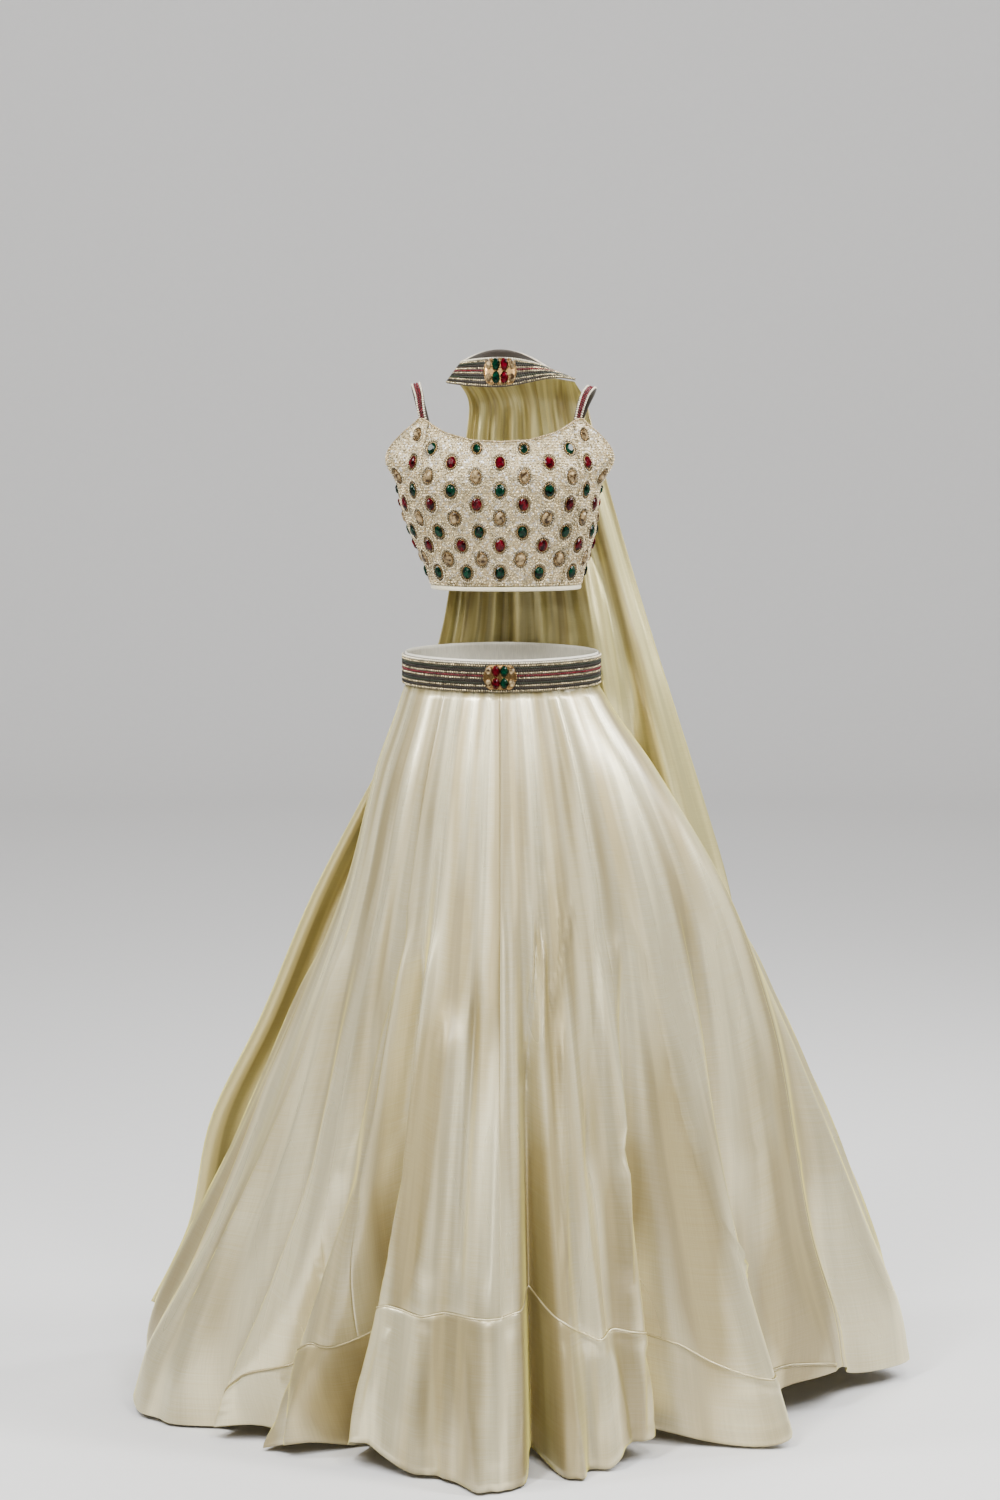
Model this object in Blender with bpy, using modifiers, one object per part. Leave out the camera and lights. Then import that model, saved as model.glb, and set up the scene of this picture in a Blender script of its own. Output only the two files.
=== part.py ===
"""A worn lehenga set, held open as it hangs on its wearer: a gored, floor-length skirt with a
front flounce and a beaded belt, a strapped choli set with large stones, and a dupatta that
falls from a beaded choker. Metres, +Z up, +X to the wearer's left, the front towards -Y,
origin at the centre of the waist."""

import bisect
import math

import bmesh
import bpy
from mathutils import Vector

# Driving sizes
FLOOR_Z = -1.075
HEM_CLEARANCE = 0.004
CLOTH = 0.0018
MITRE_LIMIT = 2.0
SEAM_GAP = 0.0003
WAIST_DIP = 0.006
WAIST_SEAM_Z = -0.0145

# Skirt: half widths to the wearer's right (left in front view) and left, depths to the front
# and the back, and how far the wearer's left side is swept back, at each height
SKIRT_COLUMNS = ("z", "left", "right", "front", "back", "sweep")
SKIRT_LEVELS = (
    (-0.0145, 0.1355, 0.1400, 0.1005, 0.1005, 0.000),
    (-0.060, 0.150, 0.166, 0.114, 0.118, 0.000),
    (-0.140, 0.178, 0.220, 0.136, 0.150, 0.005),
    (-0.320, 0.222, 0.322, 0.182, 0.222, 0.025),
    (-0.520, 0.298, 0.412, 0.240, 0.295, 0.060),
    (-0.710, 0.383, 0.488, 0.300, 0.362, 0.100),
    (-0.860, 0.462, 0.545, 0.350, 0.412, 0.130),
    (-0.990, 0.530, 0.597, 0.390, 0.450, 0.150),
    (-1.071, 0.550, 0.618, 0.408, 0.468, 0.160),
)
FRONT_POWER = (2.0, 1.2)  # of the plan at waist and hem: 2 is an ellipse, 1 a diamond
BACK_POWER = 2.0
SKIRT_STEPS = 144
FRONT_CROWDING = 0.45  # how much closer the columns stand at the front
SKIRT_ROWS = 8
ROW_SPREAD = 1.15
GORE_SEAMS = (0, 27, 46, 60, 72, 84, 98, 117)

# Folds of the skirt: where each trough runs at mid height and at the hem, in degrees from the
# front towards the wearer's left, its half width, its depth and where it starts. A negative
# depth is a lobe that stands out.
FOLD_COLUMNS = ("middle", "hem", "half", "depth", "start")
FRONT_FOLDS = (
    (-90.0, -94.0, 7.0, 0.045, 0.55),
    (-67.0, -74.0, 6.0, 0.050, 0.30),
    (-50.0, -62.0, 5.5, 0.050, 0.25),
    (-35.0, -44.0, 7.5, 0.105, 0.15),
    (-14.0, -13.0, 7.0, 0.014, 0.10),
    (9.75, 9.75, 5.2, 0.122, 0.25),
    (21.0, 22.0, 5.0, 0.022, 0.15),
    (30.0, 33.0, 5.0, 0.016, 0.20),
    (47.0, 49.0, 8.0, 0.085, 0.25),
    (64.0, 64.0, 10.0, -0.085, 0.40),
    (76.0, 82.0, 7.0, 0.045, 0.30),
    (96.0, 98.0, 6.0, 0.040, 0.30),
)
FOLD_MIDDLE_AT = 0.65
BACK_FOLDS = 9
BACK_FOLD_FROM = 114.0
BACK_FOLD_STEP = 17.6
BACK_FOLD_DEPTH = 0.046

# How far the hem hangs above the floor line, by angle
HEM_LIFT = (
    (-180.0, 0.010),
    (-120.0, 0.020),
    (-95.0, 0.030),
    (-84.0, 0.004),
    (-76.0, 0.000),
    (-65.0, 0.020),
    (-59.0, 0.000),
    (-49.0, 0.016),
    (-45.5, 0.000),
    (-33.0, 0.036),
    (-18.0, 0.003),
    (5.0, 0.000),
    (9.75, 0.012),
    (14.0, 0.000),
    (25.0, 0.000),
    (33.0, 0.026),
    (46.0, 0.026),
    (60.0, 0.000),
    (68.0, 0.020),
    (78.0, 0.024),
    (90.0, 0.056),
    (101.0, 0.022),
    (112.0, 0.034),
    (130.0, 0.012),
    (148.0, 0.026),
    (166.0, 0.008),
    (180.0, 0.010),
)

# Flounce: the share of the skirt's length at which its seam runs, by angle
FLOUNCE_SEAM = (
    (-76.5, 1.000),
    (-64.0, 0.925),
    (-58.0, 0.885),
    (-46.0, 0.860),
    (-29.5, 0.815),
    (-14.0, 0.795),
    (1.0, 0.790),
    (9.75, 0.784),
    (20.0, 0.820),
    (29.5, 0.845),
    (54.5, 0.875),
    (63.5, 0.920),
    (84.5, 0.970),
    (91.0, 1.000),
)
FLOUNCE_LEAST = 0.009
FLOUNCE_ROWS = 2
FLOUNCE_SPLIT_DEG = 9.75

# Belt and waistband
BELT_HEIGHT = 0.043
BELT_THICK = 0.003
BELT_MIDDLE_Z = 0.0075
BAND_TO_BELT = 0.0014
BAND_ABOVE_BELT = 0.0025
BELT_STEPS = 48

# Choli: half sizes at each height
CHOLI_COLUMNS = ("z", "left", "right", "front", "back")
CHOLI_LEVELS = (
    (0.128, 0.098, 0.115, 0.098, 0.094),
    (0.160, 0.108, 0.123, 0.105, 0.098),
    (0.200, 0.126, 0.134, 0.115, 0.104),
    (0.246, 0.141, 0.139, 0.127, 0.110),
    (0.290, 0.146, 0.145, 0.127, 0.114),
    (0.330, 0.141, 0.142, 0.111, 0.115),
    (0.370, 0.132, 0.134, 0.100, 0.115),
)
CHOLI_POINT = -0.30  # negative: the front is flatter than an ellipse
CHOLI_HEM_Z = 0.128
CUP_ANGLE_DEG = 32.0
CUP_HALF_DEG = 34.0
CUP_Z = 0.262
CUP_HALF_Z = 0.095
CUP_FULLNESS = 0.010
# Height of the choli's top edge, by angle from the front
CHOLI_TOP = (
    (0.0, 0.331),
    (16.0, 0.333),
    (34.0, 0.344),
    (48.0, 0.358),
    (53.0, 0.3625),
    (58.0, 0.3625),
    (66.0, 0.345),
    (76.0, 0.318),
    (84.0, 0.290),
    (92.0, 0.273),
    (108.0, 0.270),
    (130.0, 0.277),
    (145.0, 0.281),
    (180.0, 0.274),
)
WING_ANGLE_DEG = 77.0
WING_HALF_DEG = 21.0
WING_FLARE = 0.019
WING_FROM_Z = 0.262
# Stones stand in columns, each second column half a step lower
STONE_COLUMNS = 26
GRID_PER_STONE = 3
STONE_ROW = 0.0096
STONE_ROWS_PER_STEP = 4
STONE_FIRST_ROW = 2
STONE_HEIGHT = 0.0050
STONE_SHOULDER_SIDE = 0.0012
STONE_SHOULDER_UP = 0.0024
EDGE_MARGIN = 0.004
SIDE_FRONT_SEAM = 10.5
SIDE_SEAM = 19.5
CHOLI_INNER_STEP = 0.0190
BINDING_HEIGHT = 0.007

# Straps: where the ends are sewn inside the choli, the path between them over each shoulder,
# and the direction across the strap at its front, top and back
STRAP_WIDTH = 0.014
STRAP_THICK = 0.0024
STRAP_INSIDE = 0.0085
STRAP_FRONT_END = (55.5, 0.354)
STRAP_BACK_END = (145.0, 0.270)
STRAP_OVER_LEFT = (
    (0.1110, -0.0640, 0.3740),
    (0.1180, -0.0520, 0.3920),
    (0.1255, -0.0300, 0.4020),
    (0.1300, -0.0020, 0.4035),
    (0.1280, 0.0260, 0.3960),
    (0.1190, 0.0490, 0.3760),
    (0.1080, 0.0640, 0.3450),
    (0.0980, 0.0730, 0.3120),
)
STRAP_OVER_RIGHT = (
    (-0.1095, -0.0640, 0.3740),
    (-0.1130, -0.0520, 0.3930),
    (-0.1175, -0.0300, 0.4060),
    (-0.1190, -0.0020, 0.4080),
    (-0.1180, 0.0260, 0.4000),
    (-0.1130, 0.0490, 0.3780),
    (-0.1050, 0.0640, 0.3450),
    (-0.0970, 0.0730, 0.3120),
)
STRAP_ACROSS = ((0.72, 0.69, 0.0), (0.97, 0.0, -0.22), (0.87, -0.49, 0.0))
STRAP_STEPS = 18

# Choker: half sizes of its lower and upper edges, and their heights
CHOKER_LOWER = {"left": 0.077, "right": 0.108, "front": 0.080, "back": 0.086}
CHOKER_UPPER = {"left": 0.054, "right": 0.068, "front": 0.066, "back": 0.070}
CHOKER_LOWER_Z = {"front": 0.4055, "left": 0.412, "right": 0.417, "back": 0.428}
CHOKER_UPPER_Z = {"front": 0.448, "left": 0.443, "right": 0.433, "back": 0.461}
CHOKER_STEPS = 48
CHOKER_LIFT = 0.008  # of its lower edge on the wearer's left of the clasp
CHOKER_LIFT_AT_DEG = 40.0
CHOKER_LIFT_HALF_DEG = 45.0
CHOKER_THICK = 0.0028

# Dupatta: edges of each cross section from the neck to the hem, and how far it stands off the
# choli and skirt under it at its left edge, middle and right edge
DUPATTA_COLUMNS = ("z", "left", "right", "off_left", "off_middle", "off_right")
DUPATTA_LEVELS = (
    (0.385, -0.046, 0.124, 0.004, 0.001, 0.026),
    (0.330, -0.050, 0.138, 0.006, 0.003, 0.020),
    (0.250, -0.058, 0.160, 0.006, 0.003, 0.030),
    (0.130, -0.072, 0.196, 0.020, 0.014, 0.060),
    (0.030, -0.092, 0.227, -0.0004, -0.0004, 0.060),
    (-0.060, -0.130, 0.256, 0.012, 0.004, 0.050),
    (-0.200, -0.205, 0.301, 0.035, 0.012, 0.040),
    (-0.350, -0.282, 0.345, 0.060, 0.018, 0.024),
    (-0.530, -0.358, 0.375, 0.080, 0.024, 0.020),
    (-0.700, -0.440, 0.405, 0.100, 0.030, 0.020),
    (-0.870, -0.478, 0.430, 0.110, 0.036, 0.020),
    (-1.000, -0.540, 0.450, 0.120, 0.040, 0.020),
)
DUPATTA_NECK_FROM_DEG = 236.0
DUPATTA_NECK_TO_DEG = 97.0
DUPATTA_REST_GAP = 0.0008
DUPATTA_WAVES = 7.0
DUPATTA_WAVE_TOP = 0.006
DUPATTA_WAVE_HEM = 0.030
DUPATTA_STEPS = 36

# Clasps: a plate with stones in four columns and two rows, taller on the choker
CLASP_PLATE = (0.0445, 0.0020, 0.0350)
CLASP_STONES = (
    ("outer_right", -0.0164, 0.0085, 0.0115),
    ("inner_right", -0.0059, 0.0112, 0.0165),
    ("inner_left", 0.0059, 0.0112, 0.0165),
    ("outer_left", 0.0164, 0.0085, 0.0115),
)
CLASP_ROW_UP = 0.0086
CHOKER_CLASP_TALLER = 1.14
STONE_DEPTH = 0.0045

COLOURS = {
    "skirt_silk": ((0.66, 0.60, 0.45), 0.38, 0.25),
    "dupatta_silk": ((0.70, 0.66, 0.44), 0.40, 0.25),
    "waistband_cloth": ((0.70, 0.66, 0.54), 0.60, 0.0),
    "beadwork": ((0.33, 0.26, 0.16), 0.35, 0.5),
    "choli_cloth": ((0.74, 0.69, 0.58), 0.50, 0.1),
    "binding_cloth": ((0.72, 0.67, 0.52), 0.50, 0.1),
    "clasp_metal": ((0.62, 0.48, 0.25), 0.25, 1.0),
    "red_stone": ((0.33, 0.01, 0.04), 0.08, 0.0),
    "green_stone": ((0.01, 0.16, 0.07), 0.08, 0.0),
    "clear_stone": ((0.78, 0.74, 0.64), 0.08, 0.0),
}


def clamp(value, low=0.0, high=1.0):
    return max(low, min(high, value))


def smooth(value):
    t = clamp(value)
    return t * t * (3.0 - 2.0 * t)


def bell(x):
    """1 at the middle, falling smoothly to 0 at 1 either side."""
    return math.cos(0.5 * math.pi * x) ** 2 if abs(x) < 1.0 else 0.0


def signed_degrees(angle):
    return (math.degrees(angle) + 180.0) % 360.0 - 180.0


def ramp_table(rows, key, soft=False):
    """Interpolation in a table of (key, value) rows, straight or with soft turns."""
    keys = [row[0] for row in rows]
    if key <= keys[0]:
        return rows[0][1]
    if key >= keys[-1]:
        return rows[-1][1]
    i = bisect.bisect_right(keys, key) - 1
    share = (key - keys[i]) / (keys[i + 1] - keys[i])
    share = smooth(share) if soft else share
    return rows[i][1] + share * (rows[i + 1][1] - rows[i][1])


def level_at(levels, columns, z):
    """The named sizes at a height, on a smooth curve through the table's rows."""
    rows = sorted(levels)
    heights = [row[0] for row in rows]
    z = clamp(z, heights[0], heights[-1])
    i = min(max(bisect.bisect_right(heights, z) - 1, 0), len(rows) - 2)
    span = heights[i + 1] - heights[i]
    t = (z - heights[i]) / span

    def slope(k, column):
        low, high = max(k - 1, 0), min(k + 1, len(rows) - 1)
        return (rows[high][column] - rows[low][column]) / (heights[high] - heights[low])

    found = {}
    for column, name in enumerate(columns):
        start, end = rows[i][column], rows[i + 1][column]
        found[name] = (
            (2 * t**3 - 3 * t**2 + 1) * start
            + (t**3 - 2 * t**2 + t) * span * slope(i, column)
            + (3 * t**2 - 2 * t**3) * end
            + (t**3 - t**2) * span * slope(i + 1, column)
        )
    return found


def on_plan(sizes, angle, point=0.0):
    """A point on a ring with a different half size to each side, at an angle from the front."""
    side = sizes["right"] if math.sin(angle) > 0 else sizes["left"]
    depth = math.cos(angle)
    if depth > 0:
        y = -sizes["front"] * depth ** (1.0 + point)
    else:
        y = -sizes["back"] * depth
    return side * math.sin(angle), y


def chain_faces(mesh, first, second):
    """Triangles between two chains of (place, vertex) that run side by side."""
    i = j = 0
    while i < len(first) - 1 or j < len(second) - 1:
        step_first = j == len(second) - 1 or (
            i < len(first) - 1 and first[i + 1][0] <= second[j + 1][0]
        )
        if step_first:
            mesh.faces.new((first[i][1], first[i + 1][1], second[j][1]))
            i += 1
        else:
            mesh.faces.new((first[i][1], second[j + 1][1], second[j][1]))
            j += 1


def wall(name, outer, inner, material, collection, ring=False):
    """A closed wall between an outer and an inner surface. Each is a list of columns
    (place, [(place up the column, point), ...]); a ring's last column meets its first."""
    mesh = bmesh.new()
    surfaces = []
    for columns in (outer, inner):
        made = [
            (place, [(up, mesh.verts.new(point)) for up, point in column])
            for place, column in columns
        ]
        if ring:
            made.append((made[-1][0] + 1.0, made[0][1]))
        for (_, a), (_, b) in zip(made, made[1:]):
            chain_faces(mesh, a, b)
        surfaces.append(made)
    for end in (0, -1):
        edges = [[(place, column[end][1]) for place, column in made] for made in surfaces]
        chain_faces(mesh, *edges)
    if not ring:
        for end in (0, -1):
            chain_faces(mesh, surfaces[0][end][1], surfaces[1][end][1])
    data = closed_mesh(name, mesh)
    data.set_sharp_from_angle(angle=math.radians(50))
    return add_object(name, data, material, collection)


def inside_of(grid, thick, ring=False):
    """The points of a surface's inside, an even thickness behind its columns of points. Columns
    run down the cloth and follow each other to the left, seen from outside."""
    count = len(grid)
    inside = []
    for c, column in enumerate(grid):
        before = grid[c - 1] if c or ring else None
        after = grid[(c + 1) % count] if c < count - 1 or ring else None
        made = []
        for k, point in enumerate(column):
            ups = [point - column[k - 1]] if k else []
            downs = [column[k + 1] - point] if k < len(column) - 1 else []
            acrosses = []
            if before:
                acrosses.append(point - before[min(k, len(before) - 1)])
            if after:
                acrosses.append(after[min(k, len(after) - 1)] - point)
            normals = [d.cross(a).normalized() for d in ups + downs for a in acrosses]
            middle = sum(normals, Vector()).normalized()
            least = min(middle.dot(normal) for normal in normals)
            made.append(point - middle * thick * min(1.0 / max(least, 0.1), MITRE_LIMIT))
        inside.append(made)
    return inside


def closed_mesh(name, mesh):
    """A smooth-shaded mesh whose faces all point outwards."""
    bmesh.ops.recalc_face_normals(mesh, faces=mesh.faces)
    if mesh.calc_volume(signed=True) < 0:
        bmesh.ops.reverse_faces(mesh, faces=mesh.faces)
    data = bpy.data.meshes.new(name)
    mesh.to_mesh(data)
    mesh.free()
    data.shade_smooth()
    return data


def add_object(name, data, material, collection):
    obj = bpy.data.objects.new(name, data)
    obj.data.materials.append(material)
    collection.objects.link(obj)
    return obj


def material_named(name):
    colour, roughness, metallic = COLOURS[name]
    material = bpy.data.materials.new(name)
    material.use_nodes = True
    shader = material.node_tree.nodes["Principled BSDF"]
    shader.inputs["Base Color"].default_value = (*colour, 1.0)
    shader.inputs["Roughness"].default_value = roughness
    shader.inputs["Metallic"].default_value = metallic
    return material


# Skirt
def skirt_reach(sizes, angle, front_power):
    """How far from the middle the skirt's plan stands, at an angle from the front."""
    across, ahead = abs(math.sin(angle)), math.cos(angle)
    side, swept = (sizes["right"], sizes["sweep"]) if math.sin(angle) > 0 else (sizes["left"], 0.0)
    along_side = across / side
    ahead += swept * along_side
    if ahead > 0:
        along_end, power = ahead / sizes["front"], front_power
    else:
        along_end, power = -ahead / sizes["back"], BACK_POWER
    return (along_side**power + along_end**power) ** (-1.0 / power)


def all_folds():
    folds = [dict(zip(FOLD_COLUMNS, row)) for row in FRONT_FOLDS]
    for k in range(BACK_FOLDS):
        angle = BACK_FOLD_FROM + k * BACK_FOLD_STEP
        depth = BACK_FOLD_DEPTH * (1.0 + 0.3 * math.sin(2.3 * k))
        folds.append(
            {
                "middle": angle + 2.0 * math.sin(1.7 * k),
                "hem": angle,
                "half": 8.5,
                "depth": depth,
                "start": 0.2 + 0.08 * math.cos(1.9 * k),
            }
        )
    return folds


FOLDS = all_folds()


def fold_at(angle, share):
    """How far the folds draw the cloth in."""
    degrees = math.degrees(angle)
    inward = 0.0
    for fold in FOLDS:
        toward_hem = max(share - FOLD_MIDDLE_AT, 0.0) / (1.0 - FOLD_MIDDLE_AT)
        centre = fold["middle"] + (fold["hem"] - fold["middle"]) * toward_hem
        away = (degrees - centre + 180.0) % 360.0 - 180.0
        shape = bell(away / fold["half"])
        grown = clamp((share - fold["start"]) / (1.0 - fold["start"])) ** 1.2
        inward += fold["depth"] * shape * grown
    return inward


def waist_z(angle):
    return -WAIST_DIP * math.cos(angle)


def skirt_point(angle, share):
    """A point of the skirt's outside, at a share of its length below the waist seam."""
    sizes = level_at(SKIRT_LEVELS, SKIRT_COLUMNS, WAIST_SEAM_Z + share * (FLOOR_Z - WAIST_SEAM_Z))
    inward = fold_at(angle, share)
    power = FRONT_POWER[0] + (FRONT_POWER[1] - FRONT_POWER[0]) * smooth(share / 0.9)
    reach = skirt_reach(sizes, angle, power) - inward
    x, y = reach * math.sin(angle), -reach * math.cos(angle)
    top = WAIST_SEAM_Z + waist_z(angle)
    return Vector((x, y, top + share * (hem_z(angle) - top)))


def hem_z(angle):
    return FLOOR_Z + HEM_CLEARANCE + ramp_table(HEM_LIFT, signed_degrees(angle), soft=True)


def skirt_angle(step):
    turn = 2.0 * math.pi * step / SKIRT_STEPS
    return turn - FRONT_CROWDING * math.sin(turn)


def seam_share(angle):
    return ramp_table(FLOUNCE_SEAM, signed_degrees(angle))


def has_flounce(angle):
    return seam_share(angle) < 1.0 - FLOUNCE_LEAST


def skirt_column(angle):
    """Points down the skirt at an angle: the gore's rows, then the flounce's if it has one."""
    seam = seam_share(angle) if has_flounce(angle) else 1.0
    shares = [seam * (row / SKIRT_ROWS) ** ROW_SPREAD for row in range(SKIRT_ROWS + 1)]
    if seam < 1.0:
        shares += [seam + (1.0 - seam) * row / FLOUNCE_ROWS for row in range(1, FLOUNCE_ROWS + 1)]
    return [skirt_point(angle, share) for share in shares]


def skirt_panel(name, steps, rows, surfaces, material, collection):
    """A panel between two columns and two rows of the skirt, half a seam's gap inside them."""
    made = []
    for grid in surfaces:
        columns = []
        for step in steps:
            column = grid[step % SKIRT_STEPS]
            points = [point.copy() for point in column[rows]]
            if rows.start:
                points[0] = column[rows.start].lerp(*toward(column, rows.start, 1))
            elif len(column) > SKIRT_ROWS + 1:
                points[-1] = column[SKIRT_ROWS].lerp(*toward(column, SKIRT_ROWS, -1))
            columns.append(points)
        for end, beside in ((0, 1), (-1, -2)):
            for row, point in enumerate(columns[end]):
                width = (columns[beside][row] - point).length
                columns[end][row] = point.lerp(columns[beside][row], 0.5 * SEAM_GAP / width)
        made.append([(step, list(enumerate(column))) for step, column in zip(steps, columns)])
    return wall(name, *made, material, collection)


def toward(column, row, way):
    """The next point along a column and the share of the way to it that is half a gap."""
    following = column[row + way]
    return following, 0.5 * SEAM_GAP / (following - column[row]).length


def make_skirt(collection, silk):
    outside = [skirt_column(skirt_angle(step)) for step in range(SKIRT_STEPS)]
    surfaces = (outside, inside_of(outside, CLOTH, ring=True))
    gore_rows = slice(0, SKIRT_ROWS + 1)
    ends = GORE_SEAMS[1:] + (SKIRT_STEPS,)
    for number, (start, end) in enumerate(zip(GORE_SEAMS, ends), start=1):
        steps = range(start, end + 1)
        skirt_panel(f"gore_{number}", steps, gore_rows, surfaces, silk, collection)

    covered = [s for s in range(-50, 51) if has_flounce(skirt_angle(s))]
    split = min(
        covered,
        key=lambda s: abs(math.degrees(skirt_angle(s)) - FLOUNCE_SPLIT_DEG),
    )
    halves = {
        "flounce_right": [s for s in covered if s <= split],
        "flounce_left": [s for s in covered if s >= split],
    }
    flounce_rows = slice(SKIRT_ROWS, SKIRT_ROWS + FLOUNCE_ROWS + 1)
    for name, steps in halves.items():
        skirt_panel(name, steps, flounce_rows, surfaces, silk, collection)


# Belt and waistband
def belt_sizes(outward):
    at_waist = level_at(SKIRT_LEVELS, SKIRT_COLUMNS, WAIST_SEAM_Z)
    return {
        side: at_waist[side] + outward for side in ("left", "right", "front", "back")
    }


def ring_wall(name, outward, thick, low, high, steps, material, collection):
    """An upright band round the waist, its edges at heights above the dipping waist line."""
    surfaces = []
    for offset in (outward, outward - thick):
        sizes = belt_sizes(offset)
        columns = []
        for step in range(steps):
            angle = 2.0 * math.pi * step / steps
            x, y = on_plan(sizes, angle)
            dip = waist_z(math.atan2(x, -y))
            columns.append((step, [(z, Vector((x, y, z + dip))) for z in (low, high)]))
        surfaces.append(columns)
    return wall(name, *surfaces, material, collection, ring=True)


BELT_OUTWARD = BAND_TO_BELT + BELT_THICK


def make_waist(collection, band_cloth, beads):
    low = BELT_MIDDLE_Z - 0.5 * BELT_HEIGHT
    high = BELT_MIDDLE_Z + 0.5 * BELT_HEIGHT
    ring_wall(
        "waistband",
        0.0008,
        CLOTH,
        WAIST_SEAM_Z + SEAM_GAP,
        high + BAND_ABOVE_BELT,
        BELT_STEPS,
        band_cloth,
        collection,
    )
    ring_wall("belt", BELT_OUTWARD, BELT_THICK, low, high, BELT_STEPS, beads, collection)


# Choli
def choli_arc_table():
    """Distance round the choli at its fullest, from the front, by angle."""
    sizes = level_at(CHOLI_LEVELS, CHOLI_COLUMNS, CUP_Z)
    rows, total, before = [(0.0, 0.0)], 0.0, Vector(on_plan(sizes, 0.0, CHOLI_POINT))
    for k in range(1, 721):
        angle = math.radians(0.5 * k)
        here = Vector(on_plan(sizes, angle, CHOLI_POINT))
        total += (here - before).length
        rows.append((total, angle))
        before = here
    return [(distance / total, angle) for distance, angle in rows]


CHOLI_ARC = choli_arc_table()
CHOLI_STEPS = STONE_COLUMNS * GRID_PER_STONE


def choli_angle(step):
    turns = step / CHOLI_STEPS
    whole = math.floor(turns)
    return ramp_table(CHOLI_ARC, turns - whole) + 2.0 * math.pi * whole


def choli_point(angle, z, outward=0.0):
    sizes = level_at(CHOLI_LEVELS, CHOLI_COLUMNS, z)
    x, y = on_plan(sizes, angle, CHOLI_POINT)
    degrees = abs(signed_degrees(angle))
    cup = CUP_FULLNESS * bell((degrees - CUP_ANGLE_DEG) / CUP_HALF_DEG) * bell((z - CUP_Z) / CUP_HALF_Z)
    wing = WING_FLARE * bell((degrees - WING_ANGLE_DEG) / WING_HALF_DEG)
    wing *= smooth((z - WING_FROM_Z) / 0.045)
    reach = math.hypot(x, y)
    grown = (reach + cup + wing + outward) / reach
    return Vector((x * grown, y * grown, z))


def choli_top(angle):
    return ramp_table(CHOLI_TOP, abs(signed_degrees(angle)))


def stone_rise(step, row, z, top):
    """How far a grid point stands out for the stone at or beside it."""
    if z > top - 0.006 or step != round(step):
        return 0.0
    rise = 0.0
    for near, up, height in (
        (0, 0, STONE_HEIGHT),
        (-1, 0, STONE_SHOULDER_SIDE),
        (1, 0, STONE_SHOULDER_SIDE),
        (0, -1, STONE_SHOULDER_UP),
        (0, 1, STONE_SHOULDER_UP),
    ):
        column, line = step + near, row + up
        if column % GRID_PER_STONE or line < STONE_FIRST_ROW:
            continue
        lowest = STONE_FIRST_ROW + (column // GRID_PER_STONE % 2) * STONE_ROWS_PER_STEP // 2
        fits = CHOLI_HEM_Z + line * STONE_ROW < top - 0.012
        if line >= lowest and (line - lowest) % STONE_ROWS_PER_STEP == 0 and fits:
            rise = max(rise, height)
    return rise


def choli_column(step, angle, top, stones):
    column, row, z = [], 0, CHOLI_HEM_Z
    while z < top - EDGE_MARGIN:
        rise = stone_rise(step, row, z, top) if stones else 0.0
        column.append((z, choli_point(angle, z, rise)))
        row += 1
        z = CHOLI_HEM_Z + row * STONE_ROW
    column.append((top, choli_point(angle, top)))
    return column


def choli_panel(name, first, last, inner_every, material, collection):
    """A panel of the choli from one seam to the next, with its stones raised outside."""
    steps = [first] + [s for s in range(math.ceil(first), math.floor(last) + 1)] + [last]
    shift = 0.5 * SEAM_GAP / 0.12
    outer, inner = [], []
    for step in steps:
        angle = choli_angle(step)
        angle += shift if step == first else -shift if step == last else 0.0
        top = choli_top(angle)
        outer.append((step, choli_column(step, angle, top, True)))
        if step in (first, last) or step % inner_every == 0:
            column = []
            z = CHOLI_HEM_Z
            while z < top - STONE_ROW:
                column.append((z, choli_point(angle, z, -CLOTH)))
                z += CHOLI_INNER_STEP
            column.append((top, choli_point(angle, top, -CLOTH)))
            inner.append((step, column))
    return wall(name, outer, inner, material, collection)


def make_choli(collection, cloth, binding):
    panels = (
        ("choli_front", -SIDE_FRONT_SEAM, SIDE_FRONT_SEAM, 3),
        ("choli_side_left", SIDE_FRONT_SEAM, SIDE_SEAM, 1),
        ("choli_back", SIDE_SEAM, CHOLI_STEPS - SIDE_SEAM, 3),
        ("choli_side_right", CHOLI_STEPS - SIDE_SEAM, CHOLI_STEPS - SIDE_FRONT_SEAM, 1),
    )
    for name, first, last, inner_every in panels:
        choli_panel(name, first, last, inner_every, cloth, collection)
    surfaces = []
    for outward in (0.0008, -CLOTH):
        columns = []
        for step in range(0, CHOLI_STEPS, 2):
            angle = choli_angle(step)
            column = [
                (z, choli_point(angle, z, outward))
                for z in (
                    CHOLI_HEM_Z - SEAM_GAP - BINDING_HEIGHT,
                    CHOLI_HEM_Z - SEAM_GAP,
                )
            ]
            columns.append((step, column))
        surfaces.append(columns)
    wall("choli_binding", *surfaces, binding, collection, ring=True)


# Straps
def path_point(points, share):
    """A point on a smooth curve through the given points."""
    last = len(points) - 1
    place = clamp(share) * last
    i = min(int(place), last - 1)
    t = place - i
    p0, p1 = Vector(points[max(i - 1, 0)]), Vector(points[i])
    p2, p3 = Vector(points[i + 1]), Vector(points[min(i + 2, last)])
    return 0.5 * (
        2.0 * p1
        + t * (p2 - p0)
        + t * t * (2.0 * p0 - 5.0 * p1 + 4.0 * p2 - p3)
        + t**3 * (3.0 * p1 - p0 - 3.0 * p2 + p3)
    )


def strap_path(side):
    """The middle of a strap's outside; side is 1 on the wearer's left, -1 on the right."""
    over = STRAP_OVER_LEFT if side > 0 else STRAP_OVER_RIGHT
    ends = [
        choli_point(side * math.radians(degrees), z, -STRAP_INSIDE)
        for degrees, z in (STRAP_FRONT_END, STRAP_BACK_END)
    ]
    return [ends[0], *over, ends[1]]


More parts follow.
